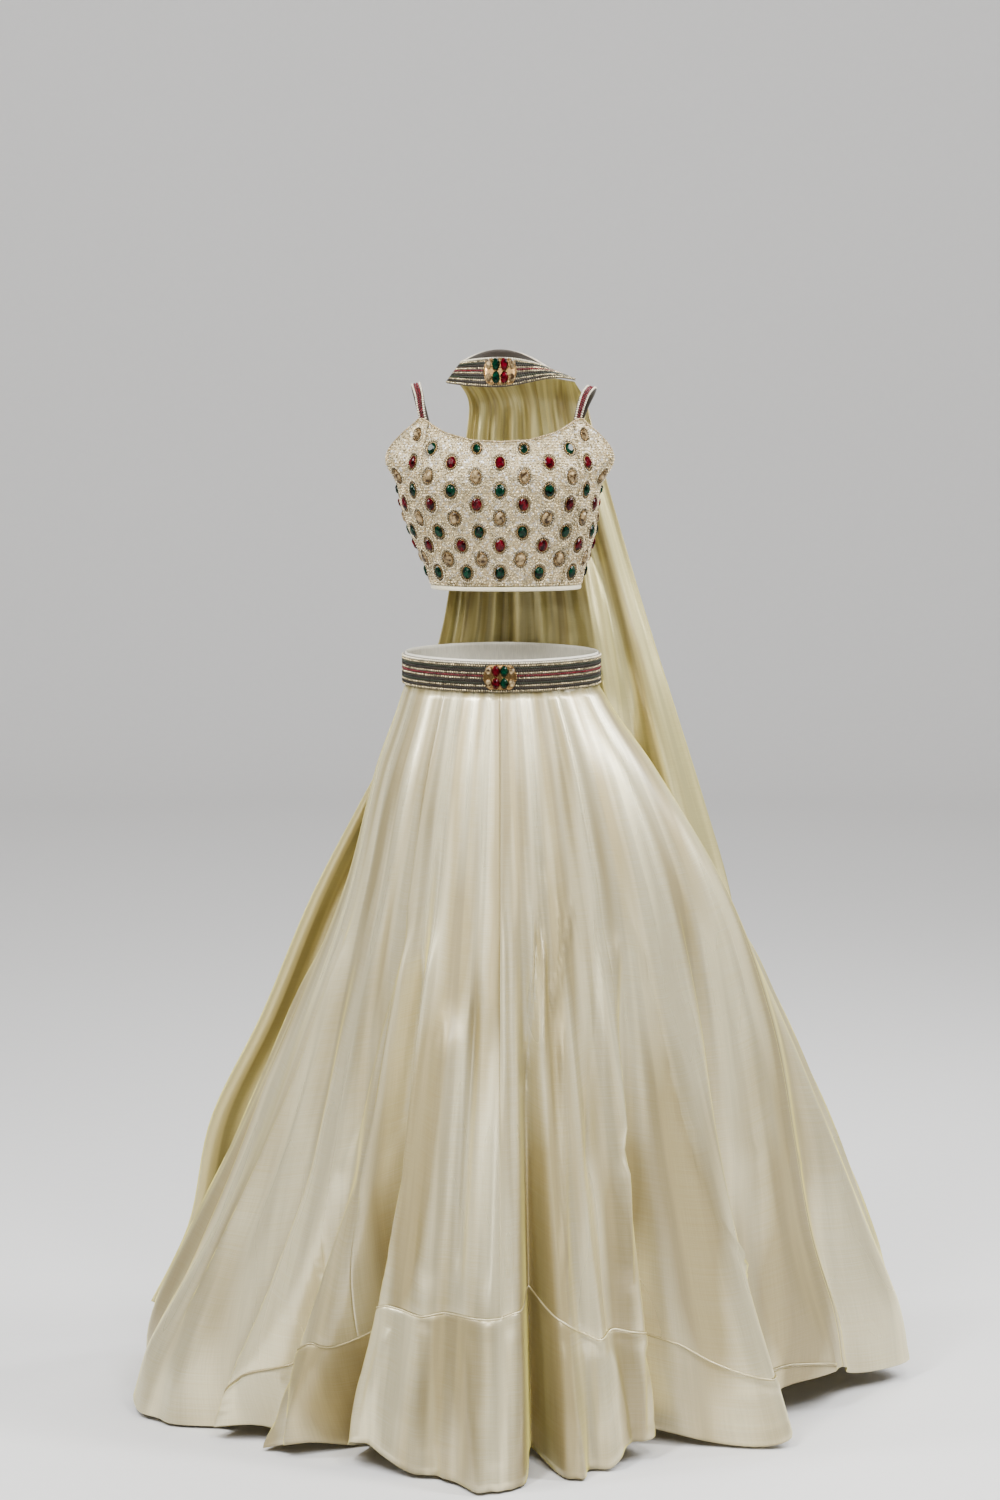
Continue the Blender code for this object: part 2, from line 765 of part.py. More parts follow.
def strap_frame(path, side, share):
    """Middle point, direction across and direction away from the body, along a strap."""
    here = path_point(path, share)
    ahead = path_point(path, share + 0.02) - path_point(path, share - 0.02)
    front, top, back = (Vector(v) for v in STRAP_ACROSS)
    if share < 0.45:
        across = front.lerp(top, smooth(share / 0.45))
    else:
        across = top.lerp(back, smooth((share - 0.45) / 0.55))
    across = Vector((side * across.x, across.y, across.z)).normalized()
    away = (side * ahead).cross(across).normalized()
    return here, across, away


def make_strap(name, side, material, collection):
    path = strap_path(side)
    outer, inner = [], []
    for step in range(STRAP_STEPS + 1):
        here, across, away = strap_frame(path, side, step / STRAP_STEPS)
        out, into = [], []
        for place in (-1, 1):
            point = here + across * (0.5 * place * STRAP_WIDTH)
            out.append((place, point))
            into.append((place, point - away * STRAP_THICK))
        outer.append((step, out))
        inner.append((step, into))
    return wall(name, outer, inner, material, collection)


# Choker
def by_quarter(sizes, angle):
    """A value that runs smoothly round between its front, side and back values."""
    side = sizes["right"] if math.sin(angle) > 0 else sizes["left"]
    end = sizes["front"] if math.cos(angle) > 0 else sizes["back"]
    return end + (side - end) * math.sin(angle) ** 2


def choker_edge(angle, up, outward=0.0):
    """A point of the choker from its lower edge, up = 0, to its upper edge, up = 1."""
    lower, upper = on_plan(CHOKER_LOWER, angle), on_plan(CHOKER_UPPER, angle)
    low_z, high_z = by_quarter(CHOKER_LOWER_Z, angle), by_quarter(CHOKER_UPPER_Z, angle)
    from_lift = (signed_degrees(angle) - CHOKER_LIFT_AT_DEG) / CHOKER_LIFT_HALF_DEG
    low_z += CHOKER_LIFT * bell(from_lift)
    a = Vector((*lower, low_z))
    b = Vector((*upper, high_z))
    point = a.lerp(b, up)
    if outward:
        along = Vector((math.cos(angle), math.sin(angle), 0.0))
        point += outward * along.cross(b - a).normalized()
    return point


def make_choker(collection, beads):
    surfaces = []
    for outward in (0.0, -CHOKER_THICK):
        columns = []
        for step in range(CHOKER_STEPS):
            angle = 2.0 * math.pi * step / CHOKER_STEPS
            columns.append((step, [(up, choker_edge(angle, up, outward)) for up in (0, 1)]))
        surfaces.append(columns)
    wall("choker", *surfaces, beads, collection, ring=True)


# Dupatta
def skirt_sizes_at(x, z):
    """The skirt's sizes at the back where its cloth passes a height, beside the given x."""
    turned, sizes = 0.5, None
    for _ in range(3):
        angle = math.pi - math.asin(turned)
        top = WAIST_SEAM_Z + waist_z(angle)
        share = clamp((top - z) / (top - hem_z(angle)))
        sizes = level_at(
            SKIRT_LEVELS, SKIRT_COLUMNS, WAIST_SEAM_Z + share * (FLOOR_Z - WAIST_SEAM_Z)
        )
        turned = clamp(x / (sizes["right"] if x > 0 else sizes["left"]), -1.0, 1.0)
    return sizes


def form_back_y(x, z):
    """How far back the choli, belt and skirt under the dupatta reach, at this place."""
    belt_low = BELT_MIDDLE_Z - 0.5 * BELT_HEIGHT
    if z >= CHOLI_HEM_Z:
        sizes = level_at(CHOLI_LEVELS, CHOLI_COLUMNS, z)
        grow = STONE_HEIGHT
    elif z > belt_low:
        belt = belt_sizes(BELT_OUTWARD)
        hem = level_at(CHOLI_LEVELS, CHOLI_COLUMNS, CHOLI_HEM_Z)
        share = smooth((z - 0.045) / (CHOLI_HEM_Z - 0.045))
        sizes = {k: belt[k] + share * (hem[k] + STONE_HEIGHT - belt[k]) for k in belt}
        grow = 0.0
    else:
        sizes = skirt_sizes_at(x, z)
        grow = BELT_OUTWARD * smooth((z + 0.10) / 0.08)
    side = (sizes["right"] if x > 0 else sizes["left"]) + grow
    share = clamp(abs(x) / side, 0.0, 0.90)
    swept = sizes.get("sweep", 0.0) * (share if x > 0 else 0.0)
    return (sizes["back"] + grow) * math.sqrt(1.0 - share**2) + swept


def dupatta_section(row, u):
    if row == 0:
        degrees = DUPATTA_NECK_FROM_DEG + (DUPATTA_NECK_TO_DEG - DUPATTA_NECK_FROM_DEG) * u
        neck = choker_edge(math.radians(degrees), 0.0, -CHOKER_THICK)
        return neck + Vector((0.0, 0.0, -2.0 * SEAM_GAP))
    level = dict(zip(DUPATTA_COLUMNS, DUPATTA_LEVELS[row - 1]))
    x = level["left"] + (level["right"] - level["left"]) * u
    ends = level["off_left"] * (1.0 - u) + level["off_right"] * u
    middle = math.sin(math.pi * u) ** 0.5
    off = ends + (level["off_middle"] - ends) * middle
    return Vector((x, form_back_y(x, level["z"]) + off, level["z"]))


def dupatta_point(u, v):
    """A point of the dupatta, u across from the wearer's right edge and v down from the neck."""
    rows = len(DUPATTA_LEVELS)
    place = clamp(v) * rows
    i = min(int(place), rows - 1)
    t = place - i
    p1, p2 = dupatta_section(i, u), dupatta_section(i + 1, u)
    m1 = 0.5 * (p2 - dupatta_section(max(i - 1, 0), u))
    m2 = 0.5 * (dupatta_section(min(i + 2, rows), u) - p1)
    point = (
        (2 * t**3 - 3 * t**2 + 1) * p1
        + (t**3 - 2 * t**2 + t) * m1
        + (3 * t**2 - 2 * t**3) * p2
        + (t**3 - t**2) * m2
    )
    clear = DUPATTA_REST_GAP * smooth(v / 0.06)
    phase = 2.0 * math.pi * (DUPATTA_WAVES * u + 0.35 * math.sin(5.0 * u) + 0.08 * math.sin(7.0 * v))
    height = DUPATTA_WAVE_TOP + (DUPATTA_WAVE_HEM - DUPATTA_WAVE_TOP) * v
    wave = height * smooth(v / 0.15) * 0.5 * (1.0 - math.cos(phase))
    if i > 0:
        point.y = max(point.y, form_back_y(point.x, point.z))
    point.y += (clear + wave + CLOTH) * smooth(v / 0.03)
    return point


def make_dupatta(collection, silk):
    """The dupatta's columns run from the wearer's left, seen from behind, to the right."""
    grid = []
    for step in range(DUPATTA_STEPS, -1, -1):
        u = step / DUPATTA_STEPS
        rows = len(DUPATTA_LEVELS)
        grid.append([dupatta_point(u, row / rows) for row in range(rows + 1)])
    surfaces = [
        [(step, list(enumerate(column))) for step, column in enumerate(columns)]
        for columns in (grid, inside_of(grid, CLOTH))
    ]
    wall("dupatta", *surfaces, silk, collection)


# Clasps
def oval_stone(name, centre, width, height, tilt, material, collection):
    """A domed oval stone that stands on its plate."""
    mesh = bmesh.new()
    bmesh.ops.create_uvsphere(mesh, u_segments=10, v_segments=5, radius=0.5)
    for vertex in mesh.verts:
        x, y, z = vertex.co
        vertex.co = (x * width, max(y, -0.30) * STONE_DEPTH / 0.40, z * height)
    for vertex in mesh.verts:
        vertex.co.y = -vertex.co.y
    bmesh.ops.dissolve_degenerate(mesh, dist=1e-5, edges=mesh.edges)
    obj = add_object(name, closed_mesh(name, mesh), material, collection)
    obj.location = centre
    obj.rotation_euler.x = tilt
    return obj


def make_clasp(prefix, centre, tilt, taller, inner_colours, materials, collection):
    """A clasp on the front of a band: a metal plate and two rows of stones."""
    width, thick, height = CLASP_PLATE
    height *= taller
    bpy.ops.mesh.primitive_cube_add(size=1.0)
    plate = bpy.context.object
    plate.name = f"{prefix}_plate"
    plate.data.name = plate.name
    for vertex in plate.data.vertices:
        vertex.co = (vertex.co.x * width, vertex.co.y * thick, vertex.co.z * height)
    for holder in plate.users_collection:
        holder.objects.unlink(plate)
    collection.objects.link(plate)
    plate.data.materials.append(materials["clasp_metal"])
    plate.location = centre
    plate.rotation_euler.x = tilt
    bevel = plate.modifiers.new("rounded edges", "BEVEL")
    bevel.width = 0.0006
    bevel.segments = 1
    for row, up in (("upper", CLASP_ROW_UP * taller), ("lower", -CLASP_ROW_UP * taller)):
        for place, x, stone_width, stone_height in CLASP_STONES:
            colour = inner_colours.get(place, "clear_stone")
            out = 0.5 * thick + SEAM_GAP + STONE_DEPTH * 0.75
            offset = Vector((x, -out, up))
            offset.rotate(plate.rotation_euler)
            oval_stone(
                f"{prefix}_stone_{row}_{place}",
                Vector(centre) + offset,
                stone_width,
                stone_height * taller,
                tilt,
                materials[colour],
                collection,
            )


def make_clasps(materials, collection):
    belt_front = belt_sizes(BELT_OUTWARD)["front"]
    belt_plate_y = -(belt_front + SEAM_GAP + 0.5 * CLASP_PLATE[1])
    make_clasp(
        "belt_clasp",
        (0.0, belt_plate_y, BELT_MIDDLE_Z - WAIST_DIP),
        0.0,
        1.0,
        {"inner_right": "red_stone", "inner_left": "green_stone"},
        materials,
        collection,
    )
    lower, upper = choker_edge(0.0, 0.0), choker_edge(0.0, 1.0)
    slope = upper - lower
    tilt = -math.atan2(slope.y, slope.z)
    middle = choker_edge(0.0, 0.5)
    away = Vector((0.0, -math.cos(tilt), -math.sin(tilt)))
    centre = middle + away * (SEAM_GAP + 0.5 * CLASP_PLATE[1])
    make_clasp(
        "choker_clasp",
        centre,
        tilt,
        CHOKER_CLASP_TALLER,
        {"inner_right": "green_stone", "inner_left": "red_stone"},
        materials,
        collection,
    )


def main():
    for obj in list(bpy.data.objects):
        bpy.data.objects.remove(obj)
    collection = bpy.data.collections.new("lehenga")
    bpy.context.scene.collection.children.link(collection)
    materials = {name: material_named(name) for name in COLOURS}
    make_skirt(collection, materials["skirt_silk"])
    make_waist(collection, materials["waistband_cloth"], materials["beadwork"])
    make_choli(collection, materials["choli_cloth"], materials["binding_cloth"])
    make_strap("strap_left", 1, materials["beadwork"], collection)
    make_strap("strap_right", -1, materials["beadwork"], collection)
    make_choker(collection, materials["beadwork"])
    make_dupatta(collection, materials["dupatta_silk"])
    make_clasps(materials, collection)


main()
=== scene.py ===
"""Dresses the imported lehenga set: silk skirt with its flounce, beaded belt, stone-set choli,
and a dupatta that falls from its beaded choker, on a plain studio floor."""

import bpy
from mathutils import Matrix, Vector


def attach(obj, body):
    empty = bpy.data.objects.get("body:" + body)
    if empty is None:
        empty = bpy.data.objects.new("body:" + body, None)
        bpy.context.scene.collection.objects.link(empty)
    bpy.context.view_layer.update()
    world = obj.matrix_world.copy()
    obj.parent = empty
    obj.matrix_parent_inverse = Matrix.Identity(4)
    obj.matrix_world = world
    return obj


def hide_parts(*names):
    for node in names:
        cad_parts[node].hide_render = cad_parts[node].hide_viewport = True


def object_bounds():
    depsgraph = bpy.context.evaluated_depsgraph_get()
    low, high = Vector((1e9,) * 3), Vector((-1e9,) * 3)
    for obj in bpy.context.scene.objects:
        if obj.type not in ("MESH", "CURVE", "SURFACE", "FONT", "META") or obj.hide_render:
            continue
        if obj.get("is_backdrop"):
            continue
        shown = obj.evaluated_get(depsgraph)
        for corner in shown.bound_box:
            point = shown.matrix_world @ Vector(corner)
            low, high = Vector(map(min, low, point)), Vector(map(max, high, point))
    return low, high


bl_info = {
    "name": "Lehenga Set",
    "version": (1, 0, 0),
    "blender": (4, 5, 0),
    "location": "View3D > Sidebar > Lehenga",
    "description": "Dresses a lehenga set in silk, beads and stones",
    "category": "Object",
}

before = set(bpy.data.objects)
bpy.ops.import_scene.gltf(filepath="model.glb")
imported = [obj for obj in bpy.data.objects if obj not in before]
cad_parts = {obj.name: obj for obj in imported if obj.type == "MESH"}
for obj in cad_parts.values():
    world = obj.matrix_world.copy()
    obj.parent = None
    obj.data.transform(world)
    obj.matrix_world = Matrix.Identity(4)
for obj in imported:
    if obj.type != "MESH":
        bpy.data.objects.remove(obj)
CAD_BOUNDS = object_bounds()

import bisect
import math
import random

import bmesh
import bpy
import numpy as np
from mathutils import Vector, noise

BODY = "root"

# Driving sizes
FLOOR_Z = -1.075
HEM_CLEARANCE = 0.004
CLOTH = 0.0018
SEAM_GAP = 0.0003
WAIST_DIP = 0.006
WAIST_SEAM_Z = -0.0145

# Skirt: half widths to the wearer's right (left in front view) and left, depths to the front
# and the back, and how far the wearer's left side is swept back, at each height
SKIRT_COLUMNS = ("z", "left", "right", "front", "back", "sweep")
SKIRT_LEVELS = (
    (-0.0145, 0.1355, 0.1400, 0.1005, 0.1005, 0.000),
    (-0.060, 0.150, 0.166, 0.114, 0.118, 0.000),
    (-0.140, 0.178, 0.220, 0.136, 0.150, 0.005),
    (-0.320, 0.222, 0.322, 0.182, 0.222, 0.025),
    (-0.520, 0.298, 0.412, 0.240, 0.295, 0.060),
    (-0.710, 0.383, 0.488, 0.300, 0.362, 0.100),
    (-0.860, 0.462, 0.545, 0.350, 0.412, 0.130),
    (-0.990, 0.530, 0.597, 0.390, 0.450, 0.150),
    (-1.071, 0.550, 0.618, 0.408, 0.468, 0.160),
)
FRONT_POWER = (2.0, 1.2)  # of the plan at waist and hem: 2 is an ellipse, 1 a diamond
BACK_POWER = 2.0
SKIRT_STEPS = 144
FRONT_CROWDING = 0.45  # how much closer the columns stand at the front
GORE_SEAMS = (0, 27, 46, 60, 72, 84, 98, 117)

# Folds of the skirt: where each trough runs at mid height and at the hem, in degrees from the
# front towards the wearer's left, its half width, its depth and where it starts. A negative
# depth is a lobe that stands out.
FOLD_COLUMNS = ("middle", "hem", "half", "depth", "start")
FRONT_FOLDS = (
    (-90.0, -94.0, 7.0, 0.045, 0.55),
    (-67.0, -74.0, 6.0, 0.050, 0.30),
    (-50.0, -62.0, 5.5, 0.050, 0.25),
    (-35.0, -44.0, 7.5, 0.105, 0.15),
    (-14.0, -13.0, 7.0, 0.014, 0.10),
    (9.75, 9.75, 5.2, 0.122, 0.25),
    (21.0, 22.0, 5.0, 0.022, 0.15),
    (30.0, 33.0, 5.0, 0.016, 0.20),
    (47.0, 49.0, 8.0, 0.085, 0.25),
    (64.0, 64.0, 10.0, -0.085, 0.40),
    (76.0, 82.0, 7.0, 0.045, 0.30),
    (96.0, 98.0, 6.0, 0.040, 0.30),
)
FOLD_MIDDLE_AT = 0.65
BACK_FOLDS = 9
BACK_FOLD_FROM = 114.0
BACK_FOLD_STEP = 17.6
BACK_FOLD_DEPTH = 0.046

# How far the hem hangs above the floor line, by angle
HEM_LIFT = (
    (-180.0, 0.010),
    (-120.0, 0.020),
    (-95.0, 0.030),
    (-84.0, 0.004),
    (-76.0, 0.000),
    (-65.0, 0.020),
    (-59.0, 0.000),
    (-49.0, 0.016),
    (-45.5, 0.000),
    (-33.0, 0.036),
    (-18.0, 0.003),
    (5.0, 0.000),
    (9.75, 0.012),
    (14.0, 0.000),
    (25.0, 0.000),
    (33.0, 0.026),
    (46.0, 0.026),
    (60.0, 0.000),
    (68.0, 0.020),
    (78.0, 0.024),
    (90.0, 0.056),
    (101.0, 0.022),
    (112.0, 0.034),
    (130.0, 0.012),
    (148.0, 0.026),
    (166.0, 0.008),
    (180.0, 0.010),
)

# Flounce: the share of the skirt's length at which its seam runs, by angle
FLOUNCE_SEAM = (
    (-76.5, 1.000),
    (-64.0, 0.925),
    (-58.0, 0.885),
    (-46.0, 0.860),
    (-29.5, 0.815),
    (-14.0, 0.795),
    (1.0, 0.790),
    (9.75, 0.784),
    (20.0, 0.820),
    (29.5, 0.845),
    (54.5, 0.875),
    (63.5, 0.920),
    (84.5, 0.970),
    (91.0, 1.000),
)
FLOUNCE_SPLIT_DEG = 9.75

# Belt and waistband
BELT_HEIGHT = 0.043
BELT_THICK = 0.003
BELT_MIDDLE_Z = 0.0075
BAND_TO_BELT = 0.0014
BAND_ABOVE_BELT = 0.0025

# Choli: half sizes at each height
CHOLI_COLUMNS = ("z", "left", "right", "front", "back")
CHOLI_LEVELS = (
    (0.128, 0.098, 0.115, 0.098, 0.094),
    (0.160, 0.108, 0.123, 0.105, 0.098),
    (0.200, 0.126, 0.134, 0.115, 0.104),
    (0.246, 0.141, 0.139, 0.127, 0.110),
    (0.290, 0.146, 0.145, 0.127, 0.114),
    (0.330, 0.141, 0.142, 0.111, 0.115),
    (0.370, 0.132, 0.134, 0.100, 0.115),
)
CHOLI_POINT = -0.30  # negative: the front is flatter than an ellipse
CHOLI_HEM_Z = 0.128
CUP_ANGLE_DEG = 32.0
CUP_HALF_DEG = 34.0
CUP_Z = 0.262
CUP_HALF_Z = 0.095
CUP_FULLNESS = 0.010
# Height of the choli's top edge, by angle from the front
CHOLI_TOP = (
    (0.0, 0.331),
    (16.0, 0.333),
    (34.0, 0.344),
    (48.0, 0.358),
    (53.0, 0.3625),
    (58.0, 0.3625),
    (66.0, 0.345),
    (76.0, 0.318),
    (84.0, 0.290),
    (92.0, 0.273),
    (108.0, 0.270),
    (130.0, 0.277),
    (145.0, 0.281),
    (180.0, 0.274),
)
WING_ANGLE_DEG = 77.0
WING_HALF_DEG = 21.0
WING_FLARE = 0.019
WING_FROM_Z = 0.262
# Stones stand in columns, each second column half a step lower
STONE_COLUMNS = 26
GRID_PER_STONE = 3
STONE_ROW = 0.0096
STONE_ROWS_PER_STEP = 4
STONE_FIRST_ROW = 2
STONE_HEIGHT = 0.0050
SIDE_FRONT_SEAM = 10.5
SIDE_SEAM = 19.5
BINDING_HEIGHT = 0.007

# Straps: where the ends are sewn inside the choli, the path between them over each shoulder,
# and the direction across the strap at its front, top and back
STRAP_WIDTH = 0.014
STRAP_THICK = 0.0024
STRAP_INSIDE = 0.0085
STRAP_FRONT_END = (55.5, 0.354)
STRAP_BACK_END = (145.0, 0.270)
STRAP_OVER_LEFT = (
    (0.1110, -0.0640, 0.3740),
    (0.1180, -0.0520, 0.3920),
    (0.1255, -0.0300, 0.4020),
    (0.1300, -0.0020, 0.4035),
    (0.1280, 0.0260, 0.3960),
    (0.1190, 0.0490, 0.3760),
    (0.1080, 0.0640, 0.3450),
    (0.0980, 0.0730, 0.3120),
)
STRAP_OVER_RIGHT = (
    (-0.1095, -0.0640, 0.3740),
    (-0.1130, -0.0520, 0.3930),
    (-0.1175, -0.0300, 0.4060),
    (-0.1190, -0.0020, 0.4080),
    (-0.1180, 0.0260, 0.4000),
    (-0.1130, 0.0490, 0.3780),
    (-0.1050, 0.0640, 0.3450),
    (-0.0970, 0.0730, 0.3120),
)
STRAP_ACROSS = ((0.72, 0.69, 0.0), (0.97, 0.0, -0.22), (0.87, -0.49, 0.0))

# Choker: half sizes of its lower and upper edges, and their heights
CHOKER_LOWER = {"left": 0.077, "right": 0.108, "front": 0.080, "back": 0.086}
CHOKER_UPPER = {"left": 0.054, "right": 0.068, "front": 0.066, "back": 0.070}
CHOKER_LOWER_Z = {"front": 0.4055, "left": 0.412, "right": 0.417, "back": 0.428}
CHOKER_UPPER_Z = {"front": 0.448, "left": 0.443, "right": 0.433, "back": 0.461}
CHOKER_LIFT = 0.008  # of its lower edge on the wearer's left of the clasp
CHOKER_LIFT_AT_DEG = 40.0
CHOKER_LIFT_HALF_DEG = 45.0
CHOKER_THICK = 0.0028

# Dupatta: edges of each cross section from the neck to the hem, and how far it stands off the
# choli and skirt under it at its left edge, middle and right edge
DUPATTA_COLUMNS = ("z", "left", "right", "off_left", "off_middle", "off_right")
DUPATTA_LEVELS = (
    (0.385, -0.046, 0.124, 0.004, 0.001, 0.026),
    (0.330, -0.050, 0.138, 0.006, 0.003, 0.020),
    (0.250, -0.058, 0.160, 0.006, 0.003, 0.030),
    (0.130, -0.072, 0.196, 0.020, 0.014, 0.060),
    (0.030, -0.092, 0.227, -0.0004, -0.0004, 0.060),
    (-0.060, -0.130, 0.256, 0.012, 0.004, 0.050),
    (-0.200, -0.205, 0.301, 0.035, 0.012, 0.040),
    (-0.350, -0.282, 0.345, 0.060, 0.018, 0.024),
    (-0.530, -0.358, 0.375, 0.080, 0.024, 0.020),
    (-0.700, -0.440, 0.405, 0.100, 0.030, 0.020),
    (-0.870, -0.478, 0.430, 0.110, 0.036, 0.020),
    (-1.000, -0.540, 0.450, 0.120, 0.040, 0.020),
)
DUPATTA_NECK_FROM_DEG = 236.0
DUPATTA_NECK_TO_DEG = 97.0
DUPATTA_REST_GAP = 0.0008
DUPATTA_WAVES = 7.0
DUPATTA_WAVE_TOP = 0.006
DUPATTA_WAVE_HEM = 0.030

# Clasps: a plate with stones in four columns and two rows, taller on the choker
CLASP_PLATE = (0.0445, 0.0020, 0.0350)
CLASP_STONES = (
    ("outer_right", -0.0164, 0.0085, 0.0115),
    ("inner_right", -0.0059, 0.0112, 0.0165),
    ("inner_left", 0.0059, 0.0112, 0.0165),
    ("outer_left", 0.0164, 0.0085, 0.0115),
)
CLASP_ROW_UP = 0.0086
CHOKER_CLASP_TALLER = 1.14


def clamp(value, low=0.0, high=1.0):
    return max(low, min(high, value))


def smooth(value):
    t = clamp(value)
    return t * t * (3.0 - 2.0 * t)


def bell(x):
    """1 at the middle, falling smoothly to 0 at 1 either side."""
    return math.cos(0.5 * math.pi * x) ** 2 if abs(x) < 1.0 else 0.0


def outward_at(angle):
    """The level direction away from the middle, at an angle from the front."""
    return Vector((math.sin(angle), -math.cos(angle), 0.0))


def signed_degrees(angle):
    return (math.degrees(angle) + 180.0) % 360.0 - 180.0


def ramp_table(rows, key, soft=False):
    """Interpolation in a table of (key, value) rows, straight or with soft turns."""
    keys = [row[0] for row in rows]
    if key <= keys[0]:
        return rows[0][1]
    if key >= keys[-1]:
        return rows[-1][1]
    i = bisect.bisect_right(keys, key) - 1
    share = (key - keys[i]) / (keys[i + 1] - keys[i])
    share = smooth(share) if soft else share
    return rows[i][1] + share * (rows[i + 1][1] - rows[i][1])


def curve_between(t, span, start, start_slope, end, end_slope):
    """A value a share t of the way along a smooth curve that has the given slopes at its ends."""
    return (
        (2 * t**3 - 3 * t**2 + 1) * start
        + (t**3 - 2 * t**2 + t) * span * start_slope
        + (3 * t**2 - 2 * t**3) * end
        + (t**3 - t**2) * span * end_slope
    )


def level_at(levels, columns, z):
    """The named sizes at a height, on a smooth curve through the table's rows."""
    rows = sorted(levels)
    heights = [row[0] for row in rows]
    z = clamp(z, heights[0], heights[-1])
    i = min(max(bisect.bisect_right(heights, z) - 1, 0), len(rows) - 2)
    span = heights[i + 1] - heights[i]
    t = (z - heights[i]) / span

    def slope(k, column):
        low, high = max(k - 1, 0), min(k + 1, len(rows) - 1)
        return (rows[high][column] - rows[low][column]) / (heights[high] - heights[low])

    found = {}
    for column, name in enumerate(columns):
        start, end = rows[i][column], rows[i + 1][column]
        found[name] = curve_between(t, span, start, slope(i, column), end, slope(i + 1, column))
    return found


def on_plan(sizes, angle, point=0.0):
    """A point on a ring with a different half size to each side, at an angle from the front."""
    side = sizes["right"] if math.sin(angle) > 0 else sizes["left"]
    depth = math.cos(angle)
    if depth > 0:
        y = -sizes["front"] * depth ** (1.0 + point)
    else:
        y = -sizes["back"] * depth
    return side * math.sin(angle), y


# Skirt
def skirt_reach(sizes, angle, front_power):
    """How far from the middle the skirt's plan stands, at an angle from the front."""
    across, ahead = abs(math.sin(angle)), math.cos(angle)
    side, swept = (sizes["right"], sizes["sweep"]) if math.sin(angle) > 0 else (sizes["left"], 0.0)
    along_side = across / side
    ahead += swept * along_side
    if ahead > 0:
        along_end, power = ahead / sizes["front"], front_power
    else:
        along_end, power = -ahead / sizes["back"], BACK_POWER
    return (along_side**power + along_end**power) ** (-1.0 / power)


def all_folds():
    folds = [dict(zip(FOLD_COLUMNS, row)) for row in FRONT_FOLDS]
    for k in range(BACK_FOLDS):
        angle = BACK_FOLD_FROM + k * BACK_FOLD_STEP
        depth = BACK_FOLD_DEPTH * (1.0 + 0.3 * math.sin(2.3 * k))
        folds.append(
            {
                "middle": angle + 2.0 * math.sin(1.7 * k),
                "hem": angle,
                "half": 8.5,
                "depth": depth,
                "start": 0.2 + 0.08 * math.cos(1.9 * k),
            }
        )
    return folds


FOLDS = all_folds()


def fold_at(angle, share):
    """How far the folds draw the cloth in."""
    degrees = math.degrees(angle)
    inward = 0.0
    for fold in FOLDS:
        toward_hem = max(share - FOLD_MIDDLE_AT, 0.0) / (1.0 - FOLD_MIDDLE_AT)
        centre = fold["middle"] + (fold["hem"] - fold["middle"]) * toward_hem
        away = (degrees - centre + 180.0) % 360.0 - 180.0
        shape = bell(away / fold["half"])
        grown = clamp((share - fold["start"]) / (1.0 - fold["start"])) ** 1.2
        inward += fold["depth"] * shape * grown
    return inward


def waist_z(angle):
    return -WAIST_DIP * math.cos(angle)


def skirt_point(angle, share):
    """A point of the skirt's outside, at a share of its length below the waist seam."""
    sizes = level_at(SKIRT_LEVELS, SKIRT_COLUMNS, WAIST_SEAM_Z + share * (FLOOR_Z - WAIST_SEAM_Z))
    inward = fold_at(angle, share)
    power = FRONT_POWER[0] + (FRONT_POWER[1] - FRONT_POWER[0]) * smooth(share / 0.9)
    reach = skirt_reach(sizes, angle, power) - inward
    x, y = reach * math.sin(angle), -reach * math.cos(angle)
    top = WAIST_SEAM_Z + waist_z(angle)
    return Vector((x, y, top + share * (hem_z(angle) - top)))


def hem_z(angle):
    return FLOOR_Z + HEM_CLEARANCE + ramp_table(HEM_LIFT, signed_degrees(angle), soft=True)


def skirt_angle(step):
    turn = 2.0 * math.pi * step / SKIRT_STEPS
    return turn - FRONT_CROWDING * math.sin(turn)


def seam_share(angle):
    return ramp_table(FLOUNCE_SEAM, signed_degrees(angle))


# Belt and waistband
def belt_sizes(outward):
    at_waist = level_at(SKIRT_LEVELS, SKIRT_COLUMNS, WAIST_SEAM_Z)
    return {
        side: at_waist[side] + outward for side in ("left", "right", "front", "back")
    }


BELT_OUTWARD = BAND_TO_BELT + BELT_THICK


# Choli
def choli_arc_table():
    """Distance round the choli at its fullest, from the front, by angle."""
    sizes = level_at(CHOLI_LEVELS, CHOLI_COLUMNS, CUP_Z)
    rows, total, before = [(0.0, 0.0)], 0.0, Vector(on_plan(sizes, 0.0, CHOLI_POINT))
    for k in range(1, 721):
        angle = math.radians(0.5 * k)
        here = Vector(on_plan(sizes, angle, CHOLI_POINT))
        total += (here - before).length
        rows.append((total, angle))
        before = here
    return [(distance / total, angle) for distance, angle in rows]


CHOLI_ARC = choli_arc_table()
CHOLI_STEPS = STONE_COLUMNS * GRID_PER_STONE


def choli_angle(step):
    turns = step / CHOLI_STEPS
    whole = math.floor(turns)
    return ramp_table(CHOLI_ARC, turns - whole) + 2.0 * math.pi * whole


def choli_point(angle, z, outward=0.0):
    sizes = level_at(CHOLI_LEVELS, CHOLI_COLUMNS, z)
    x, y = on_plan(sizes, angle, CHOLI_POINT)
    degrees = abs(signed_degrees(angle))
    cup = CUP_FULLNESS * bell((degrees - CUP_ANGLE_DEG) / CUP_HALF_DEG) * bell((z - CUP_Z) / CUP_HALF_Z)
    wing = WING_FLARE * bell((degrees - WING_ANGLE_DEG) / WING_HALF_DEG)
    wing *= smooth((z - WING_FROM_Z) / 0.045)
    reach = math.hypot(x, y)
    grown = (reach + cup + wing + outward) / reach
    return Vector((x * grown, y * grown, z))


def choli_top(angle):
    return ramp_table(CHOLI_TOP, abs(signed_degrees(angle)))


